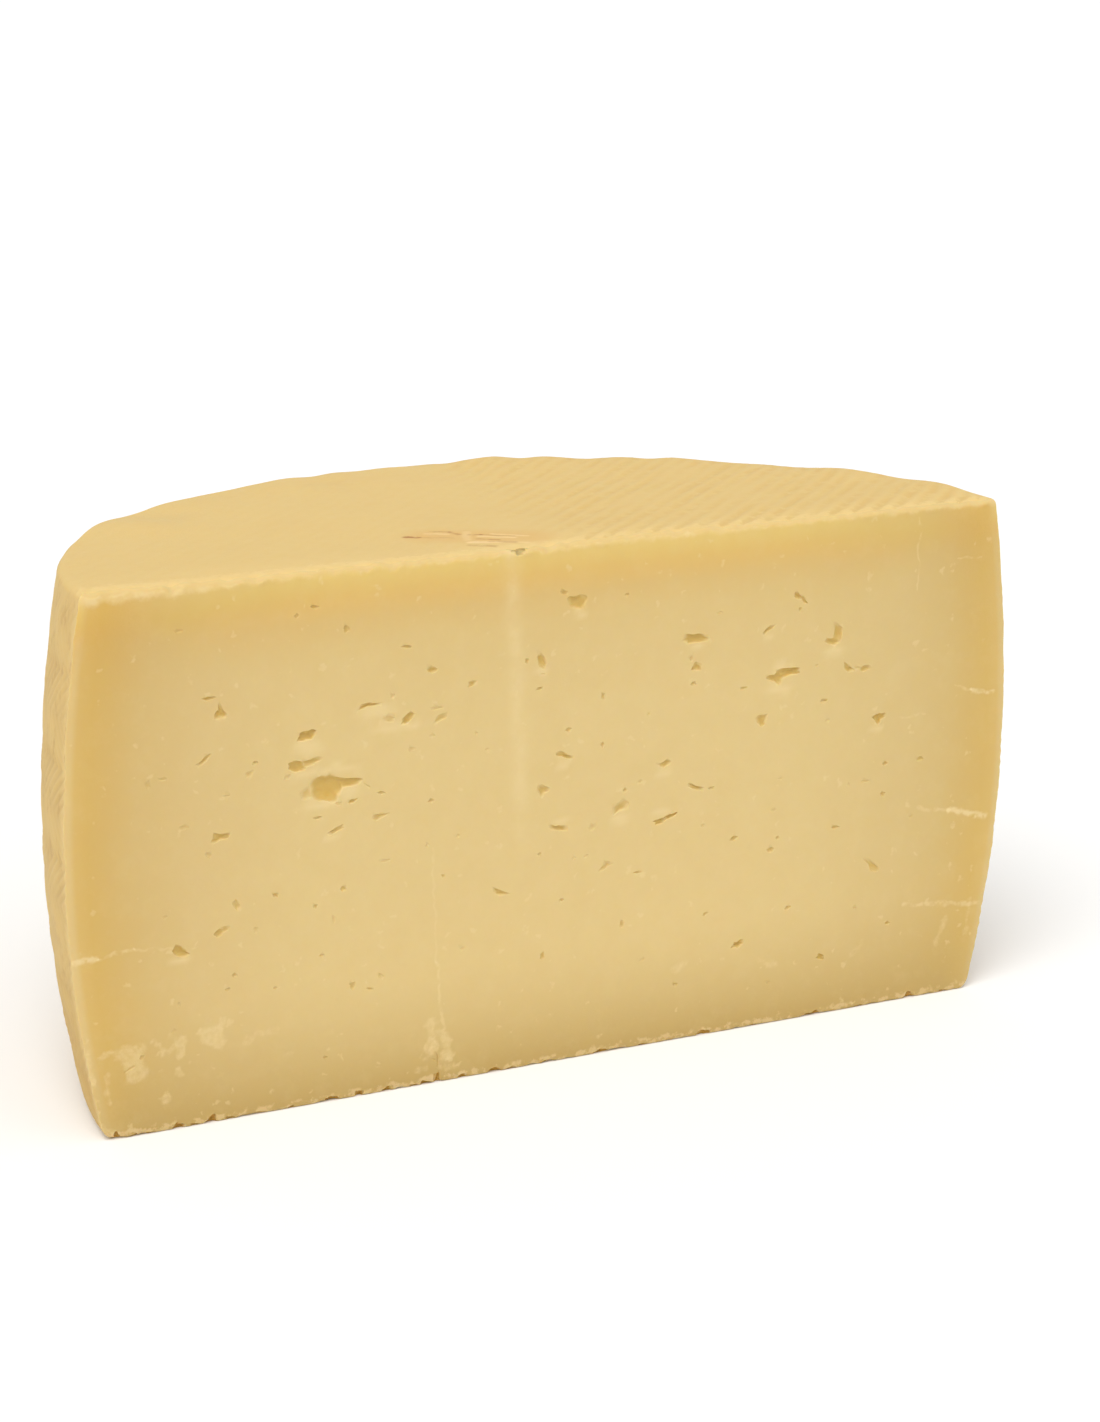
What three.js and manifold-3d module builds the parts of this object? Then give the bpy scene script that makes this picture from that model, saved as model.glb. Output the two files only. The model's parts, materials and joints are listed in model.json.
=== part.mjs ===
// Half of a pressed cheese wheel, as it is left when the wheel is cut straight through its middle.
// Millimetres, +Z up. The origin lies under the middle of the half wheel, on the face it rests on.
// The cut face looks along -Y, and the rind runs round the back from -X to +X.

import * as THREE from "three";
import { mergeVertices } from "three/addons/utils/BufferGeometryUtils.js";
import Module from "manifold-3d";

// ---- the wheel's outline ----
const WHEEL_RADIUS = 100;
const WHEEL_HEIGHT = 105;
const TOP_INSET = 4.7;
const BASE_INSET = 5.9;
const TOP_EDGE_ROUND = 1.6;
const BASE_EDGE_ROUND = 3.2;
const CUT_Y = -WHEEL_RADIUS / 2;

// ---- how far the top is out of true, as rise for each millimetre of run ----
const TOP_FALL_TO_BACK = 0.041;
const TOP_RISE_TO_RIGHT = 0.0056;
const TOP_UNEVENNESS = 0.2;
const SWELL_FADE = 8;

// ---- where the top's edge stands higher: degrees round from +X, rise, and half width in degrees ----
const EDGE_RISES = [
  { turn: 18, rise: 0.7, spread: 11 },
  { turn: 66, rise: 0.6, spread: 15 },
  { turn: 98, rise: 0.3, spread: 9 },
  { turn: 143, rise: 1.3, spread: 7 },
];
const EDGE_RISE_STARTS = 62;
const EDGE_RISE_FULL = 92;

// ---- the plaited belt's print in the rind: rows of slanted strands that lean left and right in turn ----
const BELT_START = 2.75;
const BELT_ROW_HEIGHT = 8.7;
const BELT_ROW_GROOVE = 0.3;
const STRANDS_ROUND = 40;
const STRAND_GROOVE = 0.45;
const STRAND_SLANT = 1.33;
const BELT_STANDS_OUT = 0.35;
const PRINT_STARTS = WHEEL_RADIUS - 14;
const PRINT_FULL = WHEEL_RADIUS - 8;

// ---- how finely the faceted surface is divided ----
const TURN_STEPS = 4 * STRANDS_ROUND;
const STEPS_PER_ROW = 2;
const ROUND_STEPS = 3;
const TOP_RINGS = [86, 68, 46, 22];
const BASE_RINGS = [80, 45];

// ---- the eyes that the knife opened: where they lie on the cut face, and their size ----
const EYE_DEPTH_SHARE = 0.35;
const LUMP_ROUGHNESS = 0.22;
const EYES = [
  { x: -50.5, z: 63.0, width: 8.0, height: 5.2, tilt: 0 },
  { x: -45.0, z: 63.4, width: 5.4, height: 1.8, tilt: -6 },
  { x: -54.8, z: 68.0, width: 6.4, height: 2.3, tilt: 5 },
  { x: -53.2, z: 73.8, width: 3.8, height: 2.4, tilt: 0 },
  { x: -40.0, z: 78.1, width: 6.6, height: 1.2, tilt: 0 },
  { x: -33.3, z: 74.7, width: 4.0, height: 2.4, tilt: 30 },
  { x: -28.3, z: 83.3, width: 2.6, height: 2.0, tilt: 0 },
  { x: -20.2, z: 79.8, width: 2.2, height: 1.6, tilt: 0 },
  { x: -70.1, z: 80.4, width: 2.8, height: 2.8, tilt: 0 },
  { x: -72.3, z: 83.0, width: 3.0, height: 1.2, tilt: 0 },
  { x: -73.5, z: 71.7, width: 3.2, height: 1.8, tilt: 35 },
  { x: -70.8, z: 56.5, width: 3.0, height: 1.6, tilt: 0 },
  { x: -78.7, z: 35.3, width: 3.6, height: 2.4, tilt: -20 },
  { x: -70.5, z: 38.3, width: 3.4, height: 1.6, tilt: 25 },
  { x: -67.7, z: 42.7, width: 1.8, height: 2.4, tilt: 0 },
  { x: -47.7, z: 54.7, width: 3.2, height: 1.4, tilt: 20 },
  { x: -39.0, z: 56.3, width: 3.4, height: 1.2, tilt: 5 },
  { x: -13.9, z: 37.7, width: 3.2, height: 1.8, tilt: -25 },
  { x: -5.5, z: 82.5, width: 2.0, height: 3.2, tilt: 15 },
  { x: -5.3, z: 56.5, width: 3.0, height: 2.4, tilt: 0 },
  { x: -1.0, z: 63.3, width: 3.4, height: 1.4, tilt: -20 },
  { x: -2.0, z: 48.5, width: 3.6, height: 1.3, tilt: -8 },
  { x: 1.8, z: 93.0, width: 3.8, height: 2.6, tilt: 0 },
  { x: 27.3, z: 83.3, width: 5.2, height: 2.2, tilt: -3 },
  { x: 27.2, z: 77.6, width: 2.8, height: 2.0, tilt: 0 },
  { x: 50.7, z: 89.0, width: 3.8, height: 1.8, tilt: -38 },
  { x: 58.4, z: 79.5, width: 4.0, height: 2.2, tilt: 5 },
  { x: 59.2, z: 81.3, width: 2.2, height: 3.4, tilt: 0 },
  { x: 45.4, z: 73.0, width: 4.2, height: 2.6, tilt: 10 },
  { x: 48.2, z: 74.2, width: 5.2, height: 1.7, tilt: 4 },
  { x: 64.2, z: 73.2, width: 5.8, height: 1.5, tilt: -8 },
  { x: 43.3, z: 83.2, width: 2.8, height: 1.3, tilt: 30 },
  { x: 42.7, z: 65.0, width: 2.1, height: 2.1, tilt: 0 },
  { x: 69.7, z: 62.1, width: 3.0, height: 1.8, tilt: 0 },
  { x: 28.0, z: 53.0, width: 3.6, height: 1.2, tilt: -18 },
  { x: 11.6, z: 51.2, width: 3.4, height: 2.8, tilt: 10 },
  { x: 21.5, z: 47.3, width: 5.0, height: 1.8, tilt: 17 },
  { x: 8.5, z: 39.7, width: 3.2, height: 1.4, tilt: 15 },
  { x: 69.3, z: 31.0, width: 3.8, height: 2.0, tilt: -35 },
  { x: 38.6, z: 18.4, width: 3.2, height: 2.0, tilt: 12 },
  { x: 58.2, z: 12.6, width: 2.6, height: 1.6, tilt: -20 },
];

// ---- the crumbled places along the cut face's bottom edge ----
const CHIP_DEPTH = 1.2;
const CHIPS = [
  { x: -90.5, width: 4.0, height: 1.8 },
  { x: -79.5, width: 3.4, height: 2.6 },
  { x: -73.5, width: 6.6, height: 2.6 },
  { x: -50.0, width: 4.4, height: 2.4 },
  { x: -44.0, width: 4.6, height: 2.6 },
  { x: -29.0, width: 5.6, height: 3.0 },
  { x: -15.0, width: 6.4, height: 2.2 },
  { x: 8.0, width: 5.0, height: 2.2 },
  { x: 31.0, width: 4.0, height: 2.6 },
  { x: 57.0, width: 6.0, height: 2.2 },
  { x: 80.0, width: 4.2, height: 2.4 },
];

const EYE_SEED = 101;
const CHIP_SEED = 501;

const PASTE = new THREE.MeshStandardMaterial({ color: 0xe4cc8c, roughness: 0.6, metalness: 0 });

const wasm = await Module();
wasm.setup();

// The rind's radius at a height, before the belt's print: a barrel that draws in to both edges.
function barrelRadius(height) {
  const fromMiddle = height / (WHEEL_HEIGHT / 2) - 1;
  const inset = fromMiddle > 0 ? TOP_INSET : BASE_INSET;
  return WHEEL_RADIUS - inset * fromMiddle * fromMiddle;
}

// A rounded edge of the given size, as points from one angle to another, both taken from level.
function edgeRound(size, centreHeight, from, to) {
  const centreRadius = barrelRadius(centreHeight) - size;
  const points = [];
  for (let step = 0; step <= ROUND_STEPS; step += 1) {
    const angle = THREE.MathUtils.lerp(from, to, step / ROUND_STEPS);
    const radius = centreRadius + size * Math.cos(angle);
    points.push(new THREE.Vector2(radius, centreHeight + size * Math.sin(angle)));
  }
  return points;
}

// The wheel's half section, from the middle of its base out and up to the middle of its top.
function wheelSection() {
  const sideBottom = BASE_EDGE_ROUND;
  const sideTop = WHEEL_HEIGHT - TOP_EDGE_ROUND;
  const points = [new THREE.Vector2(0, 0)];
  for (const radius of [...BASE_RINGS].reverse()) {
    points.push(new THREE.Vector2(radius, 0));
  }
  points.push(...edgeRound(BASE_EDGE_ROUND, sideBottom, -Math.PI / 2, 0));
  const rise = BELT_ROW_HEIGHT / STEPS_PER_ROW;
  for (let height = BELT_START + rise; height < sideTop; height += rise) {
    points.push(new THREE.Vector2(barrelRadius(height), height));
  }
  points.push(...edgeRound(TOP_EDGE_ROUND, sideTop, 0, Math.PI / 2));
  for (const radius of TOP_RINGS) {
    points.push(new THREE.Vector2(radius, WHEEL_HEIGHT));
  }
  points.push(new THREE.Vector2(0, WHEEL_HEIGHT));
  return points;
}

// How far the belt's print stands out of the barrel: the strands zigzag up the rind, with a groove
// between two strands and a shallower one between two rows.
function beltRelief(turn, height) {
  const rows = (height - BELT_START) / BELT_ROW_HEIGHT;
  const acrossRow = rows - Math.floor(rows);
  const fromTurningPoint = Math.abs(THREE.MathUtils.euclideanModulo(rows, 2) - 1);
  const drift = STRAND_SLANT * BELT_ROW_HEIGHT * fromTurningPoint;
  const strands = STRANDS_ROUND * (turn - drift / WHEEL_RADIUS) / (2 * Math.PI);
  const betweenStrands = 0.5 - 0.5 * Math.cos(2 * Math.PI * strands);
  const betweenRows = 1 - Math.sin(Math.PI * acrossRow);
  return BELT_STANDS_OUT - STRAND_GROOVE * betweenStrands - BELT_ROW_GROOVE * betweenRows;
}

// Gentle swells of the pressed top, and the places where its edge stands higher.
function topSwell(x, y) {
  const swell = Math.sin(x / 17 + 0.6) * Math.cos(y / 21) + 0.5 * Math.sin((x + y) / 9);
  const turn = THREE.MathUtils.radToDeg(Math.atan2(y, x));
  const edge = THREE.MathUtils.smoothstep(Math.hypot(x, y), EDGE_RISE_STARTS, EDGE_RISE_FULL);
  let rise = 0;
  for (const place of EDGE_RISES) {
    rise += place.rise * Math.exp(-(((turn - place.turn) / place.spread) ** 2));
  }
  return TOP_UNEVENNESS * swell + edge * rise;
}

// Leans a point with the wheel: the top falls to the back and rises a little to the right.
function leaned(point) {
  const share = point.z / WHEEL_HEIGHT;
  const fromCut = point.y - CUT_Y;
  point.z += share * (TOP_RISE_TO_RIGHT * point.x - TOP_FALL_TO_BACK * fromCut);
  return point;
}

// Gives the plain turned wheel its belt print, swells and lean.
function shapeWheel(geometry) {
  const positions = geometry.getAttribute("position");
  const point = new THREE.Vector3();
  for (let index = 0; index < positions.count; index += 1) {
    point.fromBufferAttribute(positions, index);
    const radius = Math.hypot(point.x, point.y);
    const onRim = THREE.MathUtils.smoothstep(radius, PRINT_STARTS, PRINT_FULL);
    const offBase = THREE.MathUtils.smoothstep(point.z, 0, BASE_EDGE_ROUND * 2);
    if (onRim > 0) {
      const relief = onRim * offBase * beltRelief(Math.atan2(point.y, point.x), point.z);
      point.x *= 1 + relief / radius;
      point.y *= 1 + relief / radius;
    }
    point.z += (point.z / WHEEL_HEIGHT) ** SWELL_FADE * topSwell(point.x, point.y);
    point.y += CUT_Y;
    leaned(point);
    positions.setXYZ(index, point.x, point.y, point.z);
  }
  return geometry;
}

// A closed solid from a geometry whose equal corners are merged and whose empty triangles are dropped.
function solidFrom(geometry) {
  const bare = geometry.clone();
  bare.deleteAttribute("normal");
  bare.deleteAttribute("uv");
  const merged = mergeVertices(bare, 1e-4);
  const corners = merged.index.array;
  const kept = [];
  for (let index = 0; index < corners.length; index += 3) {
    const [a, b, c] = corners.slice(index, index + 3);
    if (a !== b && b !== c && c !== a) {
      kept.push(a, b, c);
    }
  }
  const vertProperties = Float32Array.from(merged.getAttribute("position").array);
  const triVerts = Uint32Array.from(kept);
  return new wasm.Manifold(new wasm.Mesh({ numProp: 3, vertProperties, triVerts }));
}

function geometryFrom(solid) {
  const mesh = solid.getMesh();
  const geometry = new THREE.BufferGeometry();
  geometry.setAttribute("position", new THREE.BufferAttribute(mesh.vertProperties, mesh.numProp));
  geometry.setIndex(new THREE.BufferAttribute(mesh.triVerts, 1));
  geometry.computeVertexNormals();
  return geometry;
}

// Random numbers from 0 to 1 that are the same for the same seed.
function seededRandom(seed) {
  let state = seed;
  return () => {
    state = (Math.imul(state, 1664525) + 1013904223) >>> 0;
    return state / 2 ** 32;
  };
}

// A knobbly lump that cuts a cavity of the given size; its middle lies on the cut face.
function cavityLump({ x, z, width, height, tilt = 0 }, depth, seed) {
  const random = seededRandom(seed);
  const ball = new THREE.IcosahedronGeometry(1, 1);
  ball.deleteAttribute("normal");
  ball.deleteAttribute("uv");
  const lump = mergeVertices(ball, 1e-4);
  const positions = lump.getAttribute("position");
  for (let index = 0; index < positions.count; index += 1) {
    const swell = 1 + LUMP_ROUGHNESS * (2 * random() - 1);
    positions.setXYZ(
      index,
      positions.getX(index) * swell,
      positions.getY(index) * swell,
      positions.getZ(index) * swell,
    );
  }
  lump.scale(width / 2, depth, height / 2);
  lump.rotateY(THREE.MathUtils.degToRad(-tilt));
  const middle = leaned(new THREE.Vector3(x, CUT_Y, z));
  lump.translate(middle.x, middle.y, middle.z);
  return solidFrom(lump);
}

function turnedWheel() {
  const wheel = new THREE.LatheGeometry(wheelSection(), TURN_STEPS);
  wheel.rotateX(Math.PI / 2);
  return solidFrom(shapeWheel(wheel));
}

// The space behind the cut, where the half that is kept lies.
function keptSide() {
  const reach = WHEEL_RADIUS * 3;
  const block = new THREE.BoxGeometry(reach, reach, reach);
  block.translate(0, CUT_Y + reach / 2, WHEEL_HEIGHT / 2);
  return solidFrom(block);
}

function halfWheel() {
  let half = turnedWheel().intersect(keptSide());
  EYES.forEach((eye, number) => {
    const depth = EYE_DEPTH_SHARE * (eye.width + eye.height);
    half = half.subtract(cavityLump(eye, depth, EYE_SEED + number));
  });
  CHIPS.forEach((chip, number) => {
    half = half.subtract(cavityLump({ ...chip, z: 0 }, CHIP_DEPTH, CHIP_SEED + number));
  });
  const mesh = new THREE.Mesh(geometryFrom(half), PASTE);
  mesh.name = "half_wheel";
  return mesh;
}

const group = new THREE.Group();
group.add(halfWheel());

export default group;
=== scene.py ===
"""The looks of a half cheese wheel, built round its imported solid.

Shapes are worked out in millimetres in the wheel's own space: x runs along the cut, y from the cut
back into the cheese, and z up from the face it rests on. The finished mesh is then moved to the
part's frame and turned into metres.
"""

import bpy
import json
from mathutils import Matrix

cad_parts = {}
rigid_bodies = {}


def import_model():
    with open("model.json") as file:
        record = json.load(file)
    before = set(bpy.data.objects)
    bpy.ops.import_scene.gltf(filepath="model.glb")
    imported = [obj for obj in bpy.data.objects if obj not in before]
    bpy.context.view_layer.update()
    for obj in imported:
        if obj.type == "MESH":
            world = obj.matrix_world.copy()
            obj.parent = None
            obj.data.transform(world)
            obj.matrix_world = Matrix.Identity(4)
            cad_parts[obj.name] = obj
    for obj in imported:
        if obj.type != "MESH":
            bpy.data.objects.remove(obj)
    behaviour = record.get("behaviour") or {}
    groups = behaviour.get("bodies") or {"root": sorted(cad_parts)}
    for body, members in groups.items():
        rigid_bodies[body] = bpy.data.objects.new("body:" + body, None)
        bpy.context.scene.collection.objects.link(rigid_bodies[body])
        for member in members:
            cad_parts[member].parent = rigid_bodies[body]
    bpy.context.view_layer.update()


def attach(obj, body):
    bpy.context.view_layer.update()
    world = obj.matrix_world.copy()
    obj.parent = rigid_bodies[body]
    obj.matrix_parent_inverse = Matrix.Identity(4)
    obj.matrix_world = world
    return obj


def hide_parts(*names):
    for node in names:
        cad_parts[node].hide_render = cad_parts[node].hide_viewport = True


for leftover in list(bpy.data.objects):
    bpy.data.objects.remove(leftover)
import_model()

import json
import logging
import math
import random
from dataclasses import dataclass, field
from enum import Enum, IntEnum
from typing import Any, Iterable, Optional, Sequence, Union

import bmesh
import numpy as np
from mathutils import Euler, Matrix, Vector, noise

LOG = logging.getLogger("half_wheel")
METRES_PER_MM = 0.001
Number = Union[int, float]


def eased(value: float, start: float, end: float) -> float:
    """A smooth step from 0 at start to 1 at end."""
    share = min(1.0, max(0.0, (value - start) / (end - start)))
    return share * share * (3.0 - 2.0 * share)


Colour = tuple[int, int, int]
Ramp = tuple[tuple[float, Colour], ...]
Light = tuple[float, float, float]


def pigment(seen: Colour, light: Light = (1.0, 1.0, 1.0)) -> tuple[float, float, float, float]:
    """The surface colour that looks like a screen colour under a given light.

    Args:
        seen: The colour as it is seen, 0 to 255 a channel.
        light: How bright a white surface is there, as linear channels.

    Returns:
        The linear channels, with an alpha of 1.
    """
    channels = []
    for channel, brightness in zip(seen, light):
        share = channel / 255.0
        bent = ((share + 0.055) / 1.055) ** 2.4
        channels.append((share / 12.92 if share <= 0.04045 else bent) / brightness)
    return (channels[0], channels[1], channels[2], 1.0)


# ---------------------------------------------------------------- the wheel's form


@dataclass(frozen=True)
class EdgeRise:
    """A place where the top's edge stands higher, or lower where the rise is below 0.

    Attributes:
        turn: Where it lies, in degrees round from +X.
        rise: How much higher it stands.
        spread: Its half width in degrees.
    """

    turn: float
    rise: float
    spread: float


@dataclass(frozen=True)
class WheelForm:
    """The whole pressed wheel's outline, lean and swells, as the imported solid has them."""

    radius: float = 100.0
    height: float = 105.0
    top_inset: float = 4.7
    base_inset: float = 5.9
    cut_y: float = -50.0
    fall_to_back: float = 0.041
    rise_to_right: float = 0.0056
    unevenness: float = 0.2
    swell_fade: int = 8
    rises: tuple[EdgeRise, ...] = (
        EdgeRise(18.0, 0.7, 11.0),
        EdgeRise(66.0, 0.6, 15.0),
        EdgeRise(98.0, 0.3, 9.0),
        EdgeRise(143.0, 1.3, 7.0),
        EdgeRise(8.5, 0.3, 3.0),
        EdgeRise(19.0, -0.6, 5.0),
        EdgeRise(32.0, -0.25, 6.0),
        EdgeRise(42.0, -0.6, 3.5),
        EdgeRise(53.5, -0.35, 2.0),
        EdgeRise(62.0, -0.7, 3.2),
        EdgeRise(70.5, -0.4, 2.0),
        EdgeRise(74.7, 0.75, 2.6),
        EdgeRise(80.5, -0.5, 1.8),
        EdgeRise(93.0, -0.15, 4.0),
        EdgeRise(100.0, -0.85, 2.6),
        EdgeRise(116.0, -0.4, 5.0),
        EdgeRise(131.0, -0.6, 6.0),
        EdgeRise(147.0, -0.8, 4.0),
    )
    rise_starts: float = 62.0
    rise_full: float = 92.0
    kink: float = 0.5
    kink_scale: float = 0.085

    def from_middle(self, height: float) -> float:
        """How far a height lies from half height: -1 at the base and 1 at the top."""
        return height / (self.height / 2.0) - 1.0

    def radius_at(self, height: float) -> float:
        """The rind's radius at a height, without the belt's print."""
        share = self.from_middle(height)
        inset = self.top_inset if share > 0.0 else self.base_inset
        return self.radius - inset * share * share

    def lean_of_side(self, height: float) -> float:
        """The angle of the side's outward normal above level, at a height."""
        share = self.from_middle(height)
        inset = self.top_inset if share > 0.0 else self.base_inset
        slope = -2.0 * inset * share / (self.height / 2.0)
        return math.atan2(-slope, 1.0)

    def swell(self, x: float, y: float) -> float:
        """How far the top stands above its plane: low swells, and rises along its edge."""
        low = math.sin(x / 17.0 + 0.6) * math.cos(y / 21.0) + 0.5 * math.sin((x + y) / 9.0)
        turn = math.degrees(math.atan2(y, x))
        edge = eased(math.hypot(x, y), self.rise_starts, self.rise_full)
        rise = sum(r.rise * math.exp(-(((turn - r.turn) / r.spread) ** 2)) for r in self.rises)
        kinks = noise.noise(Vector((x * self.kink_scale, y * self.kink_scale, 2.0))) * self.kink
        return self.unevenness * low + edge * (rise + eased(edge, 0.6, 1.0) * kinks)

    def seated(self, point: Vector) -> Vector:
        """Gives a point of the true wheel the real one's swells and lean.

        Args:
            point: A point of the level, even wheel.

        Returns:
            The same point of the wheel as it stands.
        """
        share = point.z / self.height
        fade = min(1.0, max(0.0, share)) ** self.swell_fade
        lifted = point.z + fade * self.swell(point.x, point.y)
        tilt = self.rise_to_right * point.x - self.fall_to_back * point.y
        return Vector((point.x, point.y, lifted + lifted / self.height * tilt))


@dataclass(frozen=True)
class BeltPrint:
    """The plaited belt's print: rows of slanted strands that lean left and right in turn."""

    start: float = 2.75
    row_height: float = 8.7
    row_groove: float = 0.12
    strands: int = 40
    strand_groove: float = 0.14
    slant: float = 1.33
    stands_out: float = 0.1
    blades: int = 5
    blade_groove: float = 0.2
    worn_row_share: float = 0.4
    worn_scale: float = 0.055

    def drift(self, height: float) -> float:
        """How far along the rim a strand has wandered at a height."""
        rows = (height - self.start) / self.row_height
        return self.slant * self.row_height * abs(rows % 2.0 - 1.0)

    def relief(self, turn: float, height: float, place: Vector) -> float:
        """How far the print stands out of the barrel.

        Args:
            turn: The angle round the wheel, less the strand's drift, in radians.
            height: The height above the base.
            place: The point itself, for the wear that varies over the rind.

        Returns:
            Millimetres outwards.
        """
        strand = self.strands * turn / math.tau
        across_row = (height - self.start) / self.row_height % 1.0
        between_strands = 0.5 - 0.5 * math.cos(math.tau * strand)
        between_rows = 1.0 - math.sin(math.pi * across_row)
        between_blades = 0.5 - 0.5 * math.cos(math.tau * strand * self.blades)
        worn = 0.5 + 0.9 * noise.noise(place * self.worn_scale)
        patchy = 0.6 + 1.1 * noise.noise(place * self.worn_scale * 3.1)
        depth = self.blade_groove * max(0.12, min(1.25, worn + patchy - 0.3))
        if math.floor((height - self.start) / self.row_height) % 2 == 0:
            depth *= self.worn_row_share
        coarse = self.strand_groove * between_strands + self.row_groove * between_rows
        return self.stands_out - coarse - depth * between_blades


@dataclass(frozen=True)
class SectionPoint:
    """A point of the wheel's half section.

    Attributes:
        radius: Its distance from the wheel's middle.
        height: Its height above the base.
        normal: The angle of the outward normal above level, in radians.
        print_share: How much of the belt's print reaches it.
    """

    radius: float
    height: float
    normal: float
    print_share: float


@dataclass(frozen=True)
class RindBarrel:
    """The whole wheel's turned outside, open to above the top and below the base."""

    wheel: WheelForm = WheelForm()
    belt: BeltPrint = BeltPrint()
    columns_per_blade: int = 4
    rows_per_belt_row: int = 4
    base_round: float = 3.2
    top_round: float = 1.9
    round_steps: int = 6
    base_round_ends: float = math.radians(-75.0)
    top_round_ends: float = math.radians(68.0)
    below: float = 1.5
    above: float = 8.0
    worn_below_top: float = 5.5

    def rounded(self, size: float, middle: Vector, start: float, end: float) -> list[SectionPoint]:
        """An edge's round, as points from one normal's angle to another.

        Args:
            size: The round's radius.
            middle: The middle of the round, as radius and height.
            start: The first normal's angle.
            end: The last normal's angle.

        Returns:
            The points of the arc, both ends among them.
        """
        points = []
        for step in range(self.round_steps + 1):
            angle = start + (end - start) * step / self.round_steps
            radius = middle.x + size * math.cos(angle)
            height = middle.y + size * math.sin(angle)
            share = eased(math.cos(angle), 0.1, 0.85)
            points.append(SectionPoint(radius, height, angle, share))
        return points

    def section(self) -> list[SectionPoint]:
        """The half section from below the base, up the side, to above the top."""
        wheel = self.wheel
        low_normal = wheel.lean_of_side(self.base_round)
        low_height = self.base_round * (1.0 + math.sin(low_normal))
        low_middle = Vector((
            wheel.radius_at(low_height) - self.base_round * math.cos(low_normal),
            self.base_round,
        ))
        low = self.rounded(self.base_round, low_middle, self.base_round_ends, low_normal)
        high_normal = wheel.lean_of_side(wheel.height - self.top_round)
        high_height = wheel.height - self.top_round * (1.0 - math.sin(high_normal))
        high_middle = Vector((
            wheel.radius_at(high_height) - self.top_round * math.cos(high_normal),
            wheel.height - self.top_round,
        ))
        high = self.rounded(self.top_round, high_middle, high_normal, self.top_round_ends)
        first, last = low[0], high[-1]
        fall = first.height + self.below
        run_in = first.radius - fall / math.tan(math.pi / 2.0 + first.normal)
        points = [SectionPoint(run_in, -self.below, first.normal, 0.0), *low]
        rise = self.belt.row_height / self.rows_per_belt_row
        height = self.belt.start + rise
        while height < high_height - 0.3 * rise:
            if height > low_height + 0.3 * rise:
                normal = wheel.lean_of_side(height)
                points.append(SectionPoint(wheel.radius_at(height), height, normal, 1.0))
            height += rise
        points += high
        climb = wheel.height + self.above - last.height
        run_out = last.radius - climb * math.tan(last.normal)
        points.append(SectionPoint(run_out, wheel.height + self.above, last.normal, 0.0))
        return points

    def build(self) -> bmesh.types.BMesh:
        """Turns the section round the wheel's middle and prints the belt into it."""
        section = self.section()
        mesh = bmesh.new()
        ends = [mesh.verts.new((0.0, 0.0, 0.0)), mesh.verts.new((0.0, 0.0, 1.0))]
        upright = mesh.edges.new(ends)
        bmesh.ops.subdivide_edges(mesh, edges=[upright], cuts=len(section) - 2)
        for vert, point in zip(sorted(mesh.verts, key=lambda v: v.co.z), section):
            vert.co = (point.radius, 0.0, point.height)
        columns = self.belt.strands * self.belt.blades * self.columns_per_blade
        bmesh.ops.spin(
            mesh,
            geom=mesh.verts[:] + mesh.edges[:],
            cent=(0.0, 0.0, 0.0),
            axis=(0.0, 0.0, 1.0),
            dvec=(0.0, 0.0, 0.0),
            angle=math.tau,
            steps=columns,
            use_merge=True,
            use_duplicate=False,
        )
        rims = [edge for edge in mesh.edges if edge.is_boundary]
        bmesh.ops.holes_fill(mesh, edges=rims, sides=0)
        bmesh.ops.recalc_face_normals(mesh, faces=mesh.faces)
        heights = {round(point.height, 3): point for point in section}
        for vert in mesh.verts:
            self.print_belt(vert, heights[round(vert.co.z, 3)])
        return mesh

    def print_belt(self, vert: bmesh.types.BMVert, point: SectionPoint) -> None:
        """Moves one point of the turned barrel along its strand and presses the belt's print.

        Args:
            vert: The point of the mesh.
            point: The point of the section that it was turned from.
        """
        turn = math.atan2(vert.co.y, vert.co.x)
        height = min(self.wheel.height, max(0.0, point.height))
        round_to = turn + self.belt.drift(height) / self.wheel.radius
        relief = 0.0
        if point.print_share > 0.0:
            place = Vector((math.cos(round_to), math.sin(round_to), 0.0)) * point.radius
            place.z = height
            off_edges = eased(height, 0.0, 2.0 * self.base_round) * eased(
                self.wheel.height - height, 0.5, self.worn_below_top
            )
            relief = self.belt.relief(turn, height, place) * point.print_share * off_edges
        radius = point.radius + relief * math.cos(point.normal)
        level = point.height + relief * math.sin(point.normal)
        vert.co = self.wheel.seated(
            Vector((radius * math.cos(round_to), radius * math.sin(round_to), level))
        )


# ---------------------------------------------------------------- the cut, the top and the base


class Region(Enum):
    """The stretches of the sheet that wraps the cut half, from the base's back to the top's."""

    BASE = "base"
    LOWER_EDGE = "lower edge"
    CUT = "cut face"
    UPPER_EDGE = "upper edge"
    TOP = "top"


@dataclass(frozen=True)
class Station:
    """One row of the wrapping sheet.

    Attributes:
        region: The stretch that it belongs to.
        y: How far behind the cut it lies.
        z: How high it lies.
    """

    region: Region
    y: float
    z: float


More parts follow.
